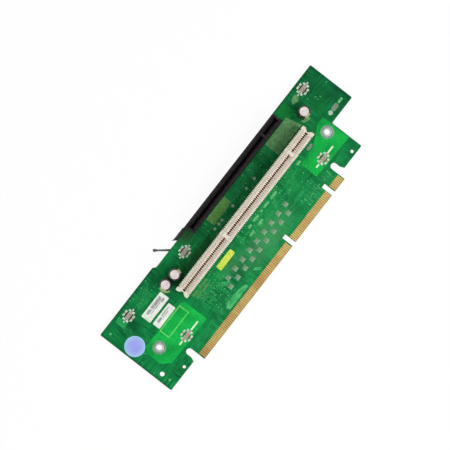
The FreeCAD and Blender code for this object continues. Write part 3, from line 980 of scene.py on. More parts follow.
slot_housing(
    "ivory_housing",
    ivory_plan,
    ivory,
    groove_depth=1.9 * mm,
    groove_half=2.5 * mm,
    roofed=False,
)
slot_housing(
    "black_housing",
    black_plan,
    black,
    groove_depth=0.35 * mm,
    groove_half=1.2 * mm,
    roofed=True,
)

# %% [markdown]
# ## Spring contacts and their solder
# Each contact is a strip of gold-plated metal: a straight tail through the board, a bow that presses on
# the card, and a tip that flares back into its pocket. Only a few bends are needed, so the strip has few
# faces and is grown along the row. On the back of the board every tail stands in a small cone of solder.

# %% Spring contacts
strip_half = 0.16 * mm
tail_offset = 1.775 * mm
tail_end = 0.2 * mm
bow_bend = 0.25 * mm
straight_share = 0.3
below_bow, above_bow = 0.12, 0.08


def spring_contacts(name, plan, finish, bow_offset, bow_level, tip_drop, replaced):
    """Both rows of a slot's contacts: how far out and how high they bow, and how far down their tips end."""
    rise = plan.top - plan.floor
    bow = plan.floor + bow_level * rise
    bends = [
        (tail_offset, tail_end),
        (tail_offset, plan.floor),
        (tail_offset, plan.floor + straight_share * rise),
        (bow_offset + bow_bend, bow - below_bow * rise),
        (bow_offset, bow),
        (bow_offset + bow_bend, bow + above_bow * rise),
        (tail_offset, plan.top - tip_drop),
    ]
    middle = plan.sections[0][0]
    x0, x1 = middle - plan.contact_width / 2, middle + plan.contact_width / 2
    template = Stock()
    for side in (-1, 1):
        rings = []
        for offset, z in bends:
            near = plan.axis + side * (offset - strip_half)
            far = plan.axis + side * (offset + strip_half)
            rings.append([(x0, near, z), (x1, near, z), (x1, far, z), (x0, far, z)])
        template.loft(*rings)
    return piece(name, [plan.row(template.mesh(name), finish)], finish, replaced)


spring_contacts(
    "ivory_springs",
    ivory_plan,
    spring_gold,
    bow_offset=0.34 * mm,
    bow_level=0.86,
    tip_drop=0.5 * mm,
    replaced=["ivory_contacts_upper", "ivory_contacts_lower"],
)
spring_contacts(
    "black_springs",
    black_plan,
    shaded_gold_paint,
    bow_offset=0.78 * mm,
    bow_level=0.64,
    tip_drop=1.7 * mm,
    replaced=["black_contacts_upper", "black_contacts_lower"],
)

# %% Solder cones on the back
cone_sides = 8
cone_tip = 0.7 * mm
cone_tip_radius = 0.24 * mm
waist_level, waist_width = 0.35, 0.55


def solder_cone(stock, spot, radius, tip_radius, tip):
    """Cone of solder under the board, with a hollow flank, down to the tip's height."""
    waist = board_bottom - waist_level * (board_bottom - tip)
    profile = [
        (0, board_bottom),
        (radius, board_bottom),
        (waist_width * (radius + tip_radius), waist),
        (tip_radius, tip),
        (0, tip),
    ]
    return stock.turned(profile, spot, cone_sides)


def tail_solder(name, plan, radius):
    """Solder cones of both rows of a slot's tails."""
    template = Stock()
    for side in (-1, 1):
        spot = (plan.sections[0][0], plan.axis + side * tail_offset)
        solder_cone(template, spot, radius, cone_tip_radius, cone_tip)
    return piece(name, [plan.row(template.mesh(name), tin)], tin, sharp=60)


tail_solder("ivory_tail_solder", ivory_plan, radius=0.56 * mm)
tail_solder("black_tail_solder", black_plan, radius=0.44 * mm)

# %% [markdown]
# ## Gold fingers
# The card's own edge has gold fingers on both faces, in three stretches between its notches and keys. A
# finger is a thin plate with cut corners at its inner end. The stretches have their own counts and gaps,
# which the row tree takes as inputs, so one template makes all of them.

# %% Gold fingers
finger_pitch = 1.27 * mm
finger_width = 0.9 * mm
finger_margin = 0.5 * mm
finger_cut = 0.15 * mm
plating = 0.05 * mm
tongue_ends = (28.6, 172.8)
key_middles = (120.7, 161.2)
key_half = 1.5
finger_low, finger_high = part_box("front_fingers")
stretch_ends = [tongue_ends[0]]
for middle in key_middles:
    stretch_ends += [middle - key_half, middle + key_half]
stretch_ends.append(tongue_ends[1])
finger_counts = []
finger_spans = []
for start, end in zip(stretch_ends[0::2], stretch_ends[1::2]):
    room = (end - start) * mm - 2 * finger_margin - finger_width
    finger_counts.append(int(room / finger_pitch) + 1)
    reach = (finger_counts[-1] - 1) * finger_pitch
    first = board_low.x + (start + end) / 2 * mm - (reach + finger_width) / 2
    finger_spans.append((first, first + reach))
finger_gaps = [after[0] - before[1] for before, after in zip(finger_spans, finger_spans[1:])]
left = finger_spans[0][0]
right = left + finger_width
finger_outline = [
    (left, finger_low.y),
    (right, finger_low.y),
    (right, finger_high.y - finger_cut),
    (right - finger_cut, finger_high.y),
    (left + finger_cut, finger_high.y),
    (left, finger_high.y - finger_cut),
]
finger = Stock()
finger.prism(finger_outline, board_top, board_top + plating)
finger.prism(finger_outline, board_bottom - plating, board_bottom)
finger_mesh = in_row(finger.mesh("finger"), gold, finger_pitch, finger_counts, finger_gaps)
fingers = piece("gold_fingers", [finger_mesh], gold, ["front_fingers", "back_fingers"])
last_edge = max(vertex.co.x for vertex in fingers.data.vertices)
print("last finger ends at", round(last_edge / mm, 2), "and in the CAD at", round(finger_high.x / mm, 2))

# %% [markdown]
# ## Copper under the mask
# Where copper lies under the lacquer the green is brighter and a hair higher. The large areas round the
# mounting holes are plates with the holes left open, and three small patches lie elsewhere. They are far
# thinner than anything else on the card, but they catch light at their edges, which a painted pattern
# would not do.

# %% Copper areas
copper_rise = 0.02 * mm
hole_spots = (at(16.8, 34.5), at(189.5, 34.5))
hole_clear = 2.05 * mm
left_area = [(9.0, 30.0), (12.0, 27.4), (47.0, 27.4), (49.5, 30.0), (49.5, 46.9), (14.2, 46.9), (9.0, 41.2)]
right_area = [(163.2, 34.0), (177.0, 33.0), (182.0, 30.4), (186.0, 28.4), (190.0, 26.4), (194.6, 26.4)]
right_area += [(195.3, 29.0), (195.3, 47.4), (162.9, 46.6)]
corner_patch = [(12.4, 2.6), (16.4, 2.2), (16.6, 9.4), (12.0, 9.8)]
slot_patch = [(178.6, 0.9), (187.0, 0.9), (187.4, 6.6), (184.2, 10.4), (178.6, 10.4)]
finger_patch = [(63.0, 52.2), (66.0, 51.0), (77.0, 51.4), (82.0, 53.0), (82.0, 55.0), (63.0, 55.0)]


def readings(spots):
    """Outline from board readings."""
    return [at(*spot) for spot in spots]


for face, low in (("front", board_top), ("back", board_bottom - copper_rise)):
    areas = []
    for area, hole in zip((left_area, right_area), hole_spots):
        areas.append(plate([readings(area), circle(hole, hole_clear)], low, low + copper_rise))
    piece("copper_areas_" + face, areas, copper_mask)
for name, patch, finish in (
    ("corner_copper_patch", corner_patch, trace_mask),
    ("slot_copper_patch", slot_patch, dim_mask),
    ("finger_copper_patch", finger_patch, broad_mask),
):
    patch_mesh = plate([readings(patch)], board_top, board_top + copper_rise)
    piece(name, [patch_mesh], finish)

# %% [markdown]
# ## Traces
# Thin copper lines run in bundles from the fingers to the resistors and on to the slots. They follow a
# rule, so a node tree draws a whole bundle: a row of points is drawn out up, sideways and up again, and a
# flat profile is swept along the paths. The inputs are the count, the pitch and the three lengths. A few
# traces are broad and pale, and the bundle at the right end lies under darker mask.


# %% Trace tree
def trace_tree():
    """Row of points drawn out up, sideways and up again, with a flat profile swept along the paths."""
    tree = Growth("trace_bundle")
    count = tree.size("Int", "Count")
    start = tree.size("Vector", "Start")
    pitch, rise, jog, run = tree.sizes("Float", "Pitch", "Rise", "Jog", "Run")
    lag, width, height = tree.sizes("Float", "Lag", "Width", "Height")
    points = tree.node("GeometryNodeMeshToPoints", {}, {"Mesh": tree.line(count, start, pitch)})
    path = tree.node("GeometryNodePointsToVertices", {}, {0: points})
    rank = tree.node("GeometryNodeInputIndex") % count
    tips = {}
    for offset in (
        tree.vector(0.0, rise + lag * rank, 0.0),
        tree.vector(jog, abs(jog), 0.0),
        tree.vector(0.0, run - lag * rank, 0.0),
    ):
        drawn = {"Mesh": path, "Offset": offset, "Offset Scale": 1.0, **tips}
        path = tree.node("GeometryNodeExtrudeMesh", {"mode": "VERTICES"}, drawn)
        tips = {"Selection": path.other("Top")}
    curve = tree.node("GeometryNodeMeshToCurve", {}, {"Mesh": path})
    level = tree.node("GeometryNodeSetCurveNormal", {"mode": "Z_UP"}, {"Curve": curve})
    profile = tree.node("GeometryNodeCurvePrimitiveQuadrilateral", {}, {"Width": width, "Height": height})
    swept = {"Curve": level, "Profile Curve": profile, "Fill Caps": True}
    return tree.close(tree.node("GeometryNodeCurveToMesh", {}, swept))


bundle = trace_tree()
print("trace tree has", len(bundle.tree.nodes), "nodes")

# %% Trace bundles
trace_rise = 0.8 * copper_rise
trace_width = 0.26


def traces(along, depth, count, pitch, rise, jog, run, lag=0.0, width=trace_width, back=False):
    """Mesh of one bundle from board readings in millimetres, on the front or the back of the board."""
    level = board_bottom - trace_rise / 2 if back else board_top + trace_rise / 2
    lengths = {"Pitch": pitch, "Rise": rise, "Jog": jog, "Run": run, "Lag": lag, "Width": width}
    sizes = {name: length * mm for name, length in lengths.items()}
    start = (*at(along, depth), level)
    empty = bpy.data.meshes.new("empty")
    return bundle.grow(empty, trace_mask, Count=count, Start=start, Height=trace_rise, **sizes)


print("traces are", trace_width, "mm wide")

# %% Traces on the front
# Depths where bundles start, at the fingers, the resistor arrays and the ivory slot, and their pitches
finger_line, array_line, slot_line = 56.3, 39.9, 19.4
finger_step, array_step, slot_step = finger_pitch / mm, 0.8, 1.0
front_traces = [
    traces(31.0, finger_line, 16, finger_step, 2.0, 3.2, 1.4, lag=0.1),
    traces(52.6, finger_line, 14, finger_step, 2.2, 3.8, 12.5, lag=0.15),
    traces(71.6, finger_line, 18, finger_step, 1.8, -2.4, 2.8),
    traces(94.5, finger_line, 16, finger_step, 1.4, 2.6, 2.6),
    traces(124.6, finger_line, 12, finger_step, 1.6, -3.0, 2.2),
    traces(141.0, finger_line, 14, finger_step, 2.4, 2.0, 8.0, lag=0.2),
    traces(164.4, finger_line, 5, finger_step, 3.6, -2.0, 3.6),
    traces(72.5, array_line, 12, array_step, 1.2, 4.6, 4.0),
    traces(90.0, array_line, 14, array_step, 2.2, 3.4, 4.0),
    traces(112.6, array_line, 16, array_step, 1.4, 2.8, 5.4),
    traces(131.4, array_line, 10, array_step, 2.6, 4.2, 3.6),
    traces(142.0, 42.0, 12, 0.9, 1.2, 4.0, 6.4, lag=0.3),
    traces(54.0, 44.0, 15, 0.9, 4.0, 2.4, 7.6, lag=0.2),
    traces(90.5, slot_line, 20, slot_step, 1.0, 2.6, 6.0, lag=0.12),
    traces(120.5, slot_line, 28, slot_step, 0.8, -2.2, 6.6),
    traces(152.5, slot_line, 5, slot_step, 1.2, 1.6, 6.6),
    traces(26.5, 11.6, 14, 1.1, 1.6, 3.0, 4.6, lag=0.25),
    traces(9.0, 17.0, 5, 1.0, 2.0, 2.0, 2.8),
]
piece("traces_front", front_traces, trace_mask)
piece("end_traces", [traces(194.0, 25.0, 12, 1.0, 2.0, 3.0, 9.0, lag=0.3)], dim_mask)

# %% Broad traces and traces on the back
broad_traces = [
    traces(146.6, 54.6, 6, 2.4, 3.0, 0.6, 2.2, width=0.7),
    traces(164.6, 54.4, 3, 2.4, 2.6, 0.5, 2.0, width=0.7),
    traces(74.6, 44.2, 2, 1.9, 0.4, -4.6, 0.5, width=1.2),
    traces(95.6, 55.2, 2, 1.4, 0.4, -3.4, 0.4, width=0.8),
    traces(60.5, 39.6, 3, 2.2, 0.6, -3.0, 0.6, width=0.8),
]
piece("broad_traces", broad_traces, broad_mask)
back_traces = [
    traces(46.0, finger_line, 31, finger_step, 3.0, 5.0, 16.0, lag=0.05, back=True),
    traces(94.5, finger_line, 20, finger_step, 4.0, -3.0, 16.0, back=True),
    traces(126.0, finger_line, 26, finger_step, 5.0, 3.0, 15.0, back=True),
    traces(95.0, 20.5, 60, 1.2, 2.0, 3.0, 8.0, back=True),
]
piece("traces_back", back_traces, trace_mask)

# %% [markdown]
# ## Vias
# Between the bundles lie many small plated holes, filled and lacquered over, that lead a trace to another
# layer. They look like pale green dots, and they are scattered, but only where a board has room for them.
# A tree lays a grid, leaves out some of it by a fixed seed, lets the rest wander a little and sets a
# small dome on each place.


# %% Via tree
def via_tree():
    """Shapes on a grid, of which some are left out by a seed and the rest wander a little."""
    tree = Growth("scattered_vias")
    shape = tree.size("Geometry", "Shape")
    length, depth, keep = tree.sizes("Float", "Length", "Depth", "Keep")
    columns, rows, seed = tree.sizes("Int", "Columns", "Rows", "Seed")
    wander = tree.size("Vector", "Wander")
    grid_sizes = {"Size X": length, "Size Y": depth, "Vertices X": columns, "Vertices Y": rows}
    grid = tree.node("GeometryNodeMeshGrid", {}, grid_sizes)
    points = tree.node("GeometryNodeMeshToPoints", {}, {"Mesh": grid})
    chance = tree.node("FunctionNodeRandomValue", {"data_type": "FLOAT"}, {"Seed": seed}, output=1)
    dropped = {"Geometry": points, "Selection": chance > keep}
    points = tree.node("GeometryNodeDeleteGeometry", {"domain": "POINT"}, dropped)
    ends = {"Min": (-1, -1, 0), "Max": (1, 1, 0), "Seed": seed}
    shift = tree.node("FunctionNodeRandomValue", {"data_type": "FLOAT_VECTOR"}, ends)
    moved = {"Geometry": points, "Offset": tree.vectors("MULTIPLY", shift, wander)}
    return tree.close_with_copies(tree.node("GeometryNodeSetPosition", {}, moved), shape)


scatter = via_tree()
print("via tree has", len(scatter.tree.nodes), "nodes")

# %% Vias
via_sides = 8
via_wander = 0.2
# Radius and height of each ring of a via, in millimetres
via_profile = [(0, 0.05), (0.12, 0.05), (0.16, 0.03), (0.24, 0.045), (0.34, 0.03), (0.4, 0), (0, 0)]


def vias(left, top, right, bottom, spacing, keep, seed, back=False):
    """Mesh of vias over a field of board readings, on the front or the back."""
    middle = at((left + right) / 2, (top + bottom) / 2)
    level = board_bottom if back else board_top
    up = -mm if back else mm
    profile = [(radius * mm, level + height * up) for radius, height in via_profile]
    wander = via_wander * spacing * mm
    return scatter.grow(
        Stock().turned(profile, middle, via_sides).mesh("via"),
        via_mask,
        Length=(right - left) * mm,
        Depth=(bottom - top) * mm,
        Columns=int((right - left) / spacing),
        Rows=int((bottom - top) / spacing),
        Keep=keep,
        Wander=(wander, wander, 0),
        Seed=seed,
    )


front_vias = [
    vias(58.5, 30.5, 77.0, 38.5, spacing=1.9, keep=0.45, seed=3),
    vias(97.0, 30.5, 160.0, 38.0, spacing=1.9, keep=0.5, seed=5),
    vias(60.0, 42.0, 71.5, 53.0, spacing=1.7, keep=0.5, seed=7),
    vias(145.0, 41.0, 160.0, 51.0, spacing=1.9, keep=0.4, seed=11),
    vias(91.0, 9.5, 157.0, 18.6, spacing=2.3, keep=0.3, seed=13),
    vias(26.0, 2.0, 50.0, 8.0, spacing=2.2, keep=0.3, seed=17),
    vias(198.0, 12.0, 214.0, 25.0, spacing=2.0, keep=0.12, seed=19),
    vias(2.5, 29.5, 8.0, 42.0, spacing=2.0, keep=0.3, seed=23),
]
piece("vias_front", front_vias, via_mask, sharp=70)
back_vias = [
    vias(31.0, 40.0, 170.0, 52.0, spacing=2.2, keep=0.3, seed=29, back=True),
    vias(88.0, 9.0, 178.0, 19.0, spacing=2.2, keep=0.3, seed=31, back=True),
]
piece("vias_back", back_vias, via_mask, sharp=70)

# %% [markdown]
# ## Mounting holes
# Both mounting holes are lined with a plated eyelet: a barrel through the board with a flange on each
# face, a lip round the hole and a ring of solder bumps where the screw head bites. The lip's lighter tin
# is partly brighter solder and partly a painted highlight. The eyelet and its lip are turned rings, and
# the bumps are set on places.

# %% Eyelets
round_sides = 48
flange_radius = 4.4 * mm
barrel_inner = 1.86 * mm
barrel_outer = 1.99 * mm
flange_edge = 0.02 * mm
flange_face = board_top + plating
flange_back = board_bottom - plating
lip_foot = 2.9 * mm
lip_crest = 2.35 * mm
lip_rise = 0.25 * mm
lip_inner_rise = 0.4 * lip_rise
bump_radius = 0.45 * mm
bump_height = 0.12 * mm
bump_shoulder = (0.75 * bump_radius, 0.6 * bump_height)
bump_ring = 3.7 * mm
bump_count = 8
bump_sides = 12
eyelet_profile = [
    (barrel_inner, flange_back),
    (flange_radius - flange_edge, flange_back),
    (flange_radius, board_bottom),
    (barrel_outer, board_bottom),
    (barrel_outer, board_top),
    (flange_radius, board_top),
    (flange_radius - flange_edge, flange_face),
    (barrel_inner, flange_face),
]
lip_profile = [
    (barrel_inner, flange_face),
    (lip_foot, flange_face),
    (lip_crest, flange_face + lip_rise),
    (barrel_inner, flange_face + lip_inner_rise),
]
bump_profile = [(0, 0), (bump_radius, 0), bump_shoulder, (0, bump_height)]
eyelets = Stock()
lips = Stock()
bump_places = []
for hole in hole_spots:
    eyelets.turned(eyelet_profile, hole, round_sides, ring=True)
    lips.turned(lip_profile, hole, round_sides, ring=True)
    bump_places += [(x, y, flange_face) for x, y in circle(hole, bump_ring, bump_count)]
bump = Stock().turned(bump_profile, (0, 0), bump_sides)
bump_mesh = copies(bump.mesh("bump"), ring_tin, bump_places)
eyelet_meshes = [eyelets.mesh("eyelets"), bump_mesh]
piece("mounting_eyelets", eyelet_meshes, ring_tin, ["mounting_rings"], sharp=50)
piece("eyelet_lips", [lips.mesh("lips")], lip_tin, sharp=50)

# %% [markdown]
# ## Round capacitors
# A capacitor is a drawn aluminium can in a shrunk film sleeve. From above one sees the bright flat end of
# the can, with a cross pressed into it so that it can vent, inside the black rim where the film curls
# over. Both are turned shapes, and the four raised quarters leave the cross between them.

# %% Capacitor cans
can_low, can_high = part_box("capacitor_cans")
sleeve_low, sleeve_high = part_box("capacitor_sleeves")
can_foot, can_face = can_low.z, can_high.z
film_top = sleeve_high.z
capacitor_spots = (at(51.3, 13.3), at(59.9, 13.9), at(189.2, 15.2))
sleeve_radius = 4.0 * mm
film = 0.12 * mm
film_play = 0.02 * mm
can_radius = sleeve_radius - film - film_play
foot_round, foot_rise = 0.5 * mm, 0.4 * mm
bead_depth, bead_level, bead_half = 0.35 * mm, 1.6 * mm, 0.4 * mm
shoulder_drop, shoulder_round, face_round = 0.7 * mm, 0.2 * mm, 0.6 * mm
dish_slope, dish_depth = 0.15 * mm, 0.05 * mm
cross_half = 0.22 * mm
quarter_radius = 2.75 * mm
quarter_rise = 0.14 * mm
quarter_sink = 0.01 * mm
quarter_steps = 8
dish = can_face - dish_depth
can_profile = [
    (0, can_foot),
    (can_radius - foot_round, can_foot),
    (can_radius, can_foot + foot_rise),
    (can_radius, can_foot + bead_level - bead_half),
    (can_radius - bead_depth, can_foot + bead_level),
    (can_radius, can_foot + bead_level + bead_half),
    (can_radius, can_face - shoulder_drop),
    (can_radius - shoulder_round, can_face - shoulder_round),
    (can_radius - face_round, can_face),
    (quarter_radius + dish_slope, can_face),
    (quarter_radius, dish),
    (0, dish),
]
cross_reach = math.degrees(math.asin(cross_half / quarter_radius))
cans = Stock()
for spot in capacitor_spots:
    cans.turned(can_profile, spot, round_sides)
    for corner in (0, 90, 180, 270):
        outline = [spoke(spot, cross_half * math.sqrt(2), math.radians(corner + 45))]
        for turn in sweep(corner + cross_reach, corner + 90 - cross_reach, quarter_steps):
            outline.append(spoke(spot, quarter_radius, turn))
        cans.prism(outline, dish - quarter_sink, dish + quarter_rise)
piece("capacitor_tops", [cans.mesh("cans")], can_metal, ["capacitor_cans"])

# %% [markdown]
# The film carries a pale stripe down one side, which shows the negative lead. It is a thin skin that
# follows the film's own profile, so the profile's bends have names and are used twice more: once a hair
# outside the film and once a hair inside it, over part of a turn.

# %% Capacitor sleeves
lip_radius = 2.95 * mm
film_foot = sleeve_low.z + 0.2 * mm
film_drop = 0.75 * mm
bend_inset, bend_drop = 0.18 * mm, 0.22 * mm
crown_inset = 0.45 * mm
curl_drop, curl_under = 0.04 * mm, 0.16 * mm
under_crown, under_bend = 0.5 * mm, 0.1 * mm
under_bend_drop, under_drop = 0.5 * mm, 0.9 * mm
sleeve_profile = [
    (sleeve_radius - film, film_foot),
    (sleeve_radius, film_foot),
    (sleeve_radius, film_top - film_drop),
    (sleeve_radius - bend_inset, film_top - bend_drop),
    (sleeve_radius - crown_inset, film_top),
    (lip_radius, film_top - curl_drop),
    (lip_radius, film_top - curl_under),
    (can_radius - under_crown, film_top - curl_under),
    (can_radius - under_bend, film_top - under_bend_drop),
    (sleeve_radius - film, film_top - under_drop),
]
sleeves = Stock()
for spot in capacitor_spots:
    sleeves.turned(sleeve_profile, spot, round_sides, ring=True)
piece("capacitor_films", [sleeves.mesh("sleeves")], sleeve_film, ["capacitor_sleeves"])

# %% Stripes on the sleeves
stripe_skin = 0.015 * mm
stripe_margin = 0.05 * mm
stripe_steps = 10
stripe_turns = ((146, 226), (320, 368), (226, 290))


def stripe_edge(gap):
    """Outer side of the film up to its curled lip, moved outwards by a gap."""
    return [
        (sleeve_radius + gap, film_foot + stripe_margin),
        (sleeve_radius + gap, film_top - film_drop),
        (sleeve_radius - bend_inset + gap, film_top - bend_drop + gap),
        (sleeve_radius - crown_inset, film_top + gap),
        (lip_radius + stripe_margin, film_top - curl_drop + gap),
    ]


stripe_section = stripe_edge(stripe_skin) + stripe_edge(-stripe_skin)[::-1]
stripes = Stock()
for spot, (start, end) in zip(capacitor_spots, stripe_turns):
    rings = []
    for turn in sweep(start, end, stripe_steps):
        rings.append([(*spoke(spot, radius, turn), z) for radius, z in stripe_section])
    stripes.loft(*rings)
piece("sleeve_stripes", [stripes.mesh("stripes")], stripe_ink)

# %% [markdown]
# Both leads of a capacitor go through the board and end in a cone of solder on its back, like the tails of
# the slots, so the same function makes the cones. Here the wire's end stands out of the solder.

# %% Capacitor leads and their solder
lead_aside = 1.75 * mm
lead_radius = 0.3 * mm
lead_sides = 12
lead_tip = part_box("capacitor_leads")[0].z
lead_profile = [(0, lead_tip), (lead_radius, lead_tip), (lead_radius, can_foot), (0, can_foot)]
lead_cone_radius, lead_cone_tip = 0.85 * mm, 0.34 * mm
lead_bare = 0.4 * mm
leads = Stock()
for x, y in capacitor_spots:
    for side in (-1, 1):
        spot = (x + side * lead_aside, y)
        leads.turned(lead_profile, spot, lead_sides)
        solder_cone(leads, spot, lead_cone_radius, lead_cone_tip, lead_tip + lead_bare)
piece("capacitor_lead_solder", [leads.mesh("leads")], tin, ["capacitor_leads"])

# %% [markdown]
# ## Resistor arrays
# Below the ivory slot lie two staggered rows of small resistor arrays: a dark ceramic body with four
# tinned ends along each long side, each on its pad in a fillet of solder. Body and ends have different
# finishes, so they are two templates set on the same places.

# %% Bodies of the resistor arrays
array_count = 9
array_pitch = 7.36
array_starts = ((78.3, 41.6), (75.0, 46.2))
array_length, array_width, array_height = 3.2 * mm, 1.6 * mm, 0.6 * mm
body_lift, body_sunk, body_inset, body_cut = 0.05 * mm, 0.03 * mm, 0.05 * mm, 0.1 * mm
array_places = []
for along, depth in array_starts:
    array_places += [(*at(along + i * array_pitch, depth), board_top) for i in range(array_count)]


def cut_box(length, width, low, high, cut):
    """Block on the origin with its upper edges cut at a slant."""
    x, y = length / 2, width / 2
    rings = [level_ring(x, y, low), level_ring(x, y, high - cut), level_ring(x - cut, y - cut, high)]
    return Stock().loft(*rings)


body_width = array_width - 2 * body_inset
array_body = cut_box(array_length, body_width, body_lift, array_height - body_sunk, body_cut)
copied_piece("array_bodies", array_body, array_ceramic, array_places, ["resistor_arrays"])

# %% Tinned ends of the resistor arrays
end_count = 4
end_pitch = 0.8 * mm
end_half = 0.24 * mm
end_wrap = 0.3 * mm
end_skin = 0.06 * mm
end_bevel, end_bevel_drop = 0.05 * mm, 0.08 * mm
pad_reach = 0.75 * mm
fillet_share, fillet_level = 0.25, 0.35
pad_edge = 0.05 * mm
array_side = array_width / 2
end_section = [
    (array_side - end_wrap, array_height - end_skin),
    (array_side - end_wrap, array_height),
    (array_side - end_bevel, array_height),
    (array_side, array_height - end_bevel_drop),
    (array_side + fillet_share * pad_reach, fillet_level * array_height),
    (array_side + pad_reach, pad_edge),
    (array_side + pad_reach, 0),
    (array_side - end_wrap, 0),
]
array_ends = Stock()
for side in (-1, 1):
    for i in range(end_count):
        x = (i - (end_count - 1) / 2) * end_pitch
        array_ends.bar([(side * y, z) for y, z in end_section], x - end_half, x + end_half)
copied_piece("array_ends", array_ends, dull_tin, array_places)

# %% [markdown]
# ## Chip groups
# At five places one moulded capacitor stands between four ceramic chips, on tinned lands. The lands of
# the chips reach out beyond their ends, and two round ones lie further out, so a group looks like a star.
# It is alike each time, so there is one template each for the chips, their tinned ends, the moulded body
# with its slanted sides, its legs and the lands, and all of them go to the same five places.

# %% Places of the chips
group_spots = ((20.7, 6.8), (74.4, 9.8), (33.4, 43.4), (174.7, 42.8), (201.4, 5.6))
group_places = [(*at(*spot), board_top) for spot in group_spots]
tantalum_length, tantalum_width = 3.5 * mm, 2.8 * mm
chip_width = 1.25 * mm
chip_gap = 0.9 * mm
chip_aside = tantalum_length / 2 + chip_gap + chip_width / 2
chip_away = tantalum_width / 2 + chip_gap + chip_width / 2
chip_places = [(True, (side * chip_aside, 0)) for side in (-1, 1)]
chip_places += [(False, (0, side * chip_away)) for side in (-1, 1)]


def at_chips(shape):
    """Stock of a shape at the four chips of a group, with a quarter turn at two of them."""
    stock = Stock()
    for quarter, place in chip_places:
        points = []
        for x, y, z in shape.points:
            turned_x, turned_y = (-y, x) if quarter else (x, y)
            points.append((turned_x + place[0], turned_y + place[1], z))
        stock.add(points, shape.faces)
    return stock


print("chips in all:", len(group_places) * len(chip_places))

# %% Chips and their tinned ends
chip_length, chip_height = 2.0 * mm, 0.8 * mm
chip_lift, chip_sunk, chip_inset, chip_cut = 0.03 * mm, 0.04 * mm, 0.03 * mm, 0.05 * mm
cap_length, cap_overlap = 0.45 * mm, 0.01 * mm
cap_bevel, cap_bevel_drop = 0.06 * mm, 0.08 * mm
fillet_bend, fillet_bend_level = 0.12 * mm, 0.3
fillet_reach, fillet_edge = 0.5 * mm, 0.04 * mm
foot_share, foot_margin = 0.85, 0.1 * mm
foot_half = foot_share * chip_width / 2 + foot_margin
chip_end = chip_length / 2
cap_sections = [
    (chip_end - cap_length, chip_height, chip_width / 2),
    (chip_end - cap_bevel, chip_height, chip_width / 2),
    (chip_end, chip_height - cap_bevel_drop, chip_width / 2),
    (chip_end + fillet_bend, fillet_bend_level * chip_height, foot_half),
    (chip_end + fillet_reach, fillet_edge, foot_half),
]
bare_length = chip_length - 2 * cap_length + 2 * cap_overlap
bare_width = chip_width - 2 * chip_inset
chip_body = cut_box(bare_length, bare_width, chip_lift, chip_height - chip_sunk, chip_cut)
chip_caps = Stock()
for side in (-1, 1):
    rings = []
    for along, top, half in cap_sections:
        x = side * along
        rings.append([(x, -half, 0), (x, half, 0), (x, half, top), (x, -half, top)])
    chip_caps.loft(*rings)
chips = at_chips(chip_body)
copied_piece("chip_bodies", chips, chip_ceramic, group_places, ["chip_capacitors"])
copied_piece("chip_ends", at_chips(chip_caps), tin, group_places)

# %% Moulded bodies and their legs
# Height and inset of each ring of a body, in millimetres
tantalum_levels = ((0.12, 0.06), (0.7, 0.0), (1.0, 0.0), (1.75, 0.12), (1.88, 0.2))
leg_length, leg_out, leg_half, leg_height = 0.7 * mm, 0.02 * mm, 1.1 * mm, 0.12 * mm
tantalum_rings = []
for level, inset in tantalum_levels:
    half_length, half_width = tantalum_length / 2 - inset * mm, tantalum_width / 2 - inset * mm
    tantalum_rings.append(level_ring(half_length, half_width, level * mm))
tantalum = Stock().loft(*tantalum_rings)
legs = Stock()
for side in (-1, 1):
    inner, outer = side * (tantalum_length / 2 - leg_length), side * (tantalum_length / 2 + leg_out)
    legs.box((inner, -leg_half, 0), (outer, leg_half, leg_height))
copied_piece("tantalum_bodies", tantalum, resin, group_places, ["tantalum_capacitors"])
copied_piece("tantalum_legs", legs, tin, group_places)

# %% Lands of the chip groups
land_rise = 0.03 * mm
land_start, land_end, land_half = 0.75 * mm, 2.15 * mm, 0.68 * mm
leg_land_end, leg_land_half = 2.5 * mm, 1.2 * mm
outer_land, outer_half, outer_sides = 4.75 * mm, 0.6 * mm, 12
chip_lands = Stock()
for side in (-1, 1):
    chip_lands.box((side * land_start, -land_half, 0), (side * land_end, land_half, land_rise))
lands = at_chips(chip_lands)
for side in (-1, 1):
    lands.box((0, -leg_land_half, 0), (side * leg_land_end, leg_land_half, land_rise))
    lands.prism(circle((side * outer_land, 0), outer_half, outer_sides), 0, land_rise)
copied_piece("group_lands", lands, land_tin, group_places)

# %% [markdown]
# ## Disc and labels
# A soft blue disc marks where the card may be touched, and two paper labels sit beside it. The disc is a
# turned shape with a rounded edge and a paler rim. The labels carry plain grey bars, thin plates just
# above the paper.

# %% Disc
disc_low, disc_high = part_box("touch_disc")
disc_middle = ((disc_low.x + disc_high.x) / 2, (disc_low.y + disc_high.y) / 2)
disc_radius = (disc_high.x - disc_low.x) / 2
disc_edge = 0.06 * mm
disc_sides = 64
rim_start, rim_share = 0.5, 0.85
blue = Finish("touch_blue", coat=0.05)
blue_spot = blue.vectors("DISTANCE", blue.place, (*disc_middle, disc_high.z), output=1)
blue_rim = blue.steps(blue_spot, rim_start * disc_radius, disc_radius)
blue_cloud = blue.steps(blue.noise(4, 2.0), 0.35, 0.65)
blue_core = blue.blend(blue_cloud, paint(138, 156, 228), paint(156, 158, 232))
blue_face = blue.blend(rim_share * blue_rim, blue_core, paint(152, 202, 226))
blue.wear(blue_face, 0.5 + 0.1 * blue_cloud, blue.noise(0.4), 0.01)
disc_profile = [
    (0, disc_low.z),
    (disc_radius, disc_low.z),
    (disc_radius, disc_high.z - disc_edge),
    (disc_radius - disc_edge, disc_high.z),
    (0, disc_high.z),
]
disc_mesh = Stock().turned(disc_profile, disc_middle, disc_sides).mesh("disc")
piece("touch_point", [disc_mesh], blue, ["touch_disc"])

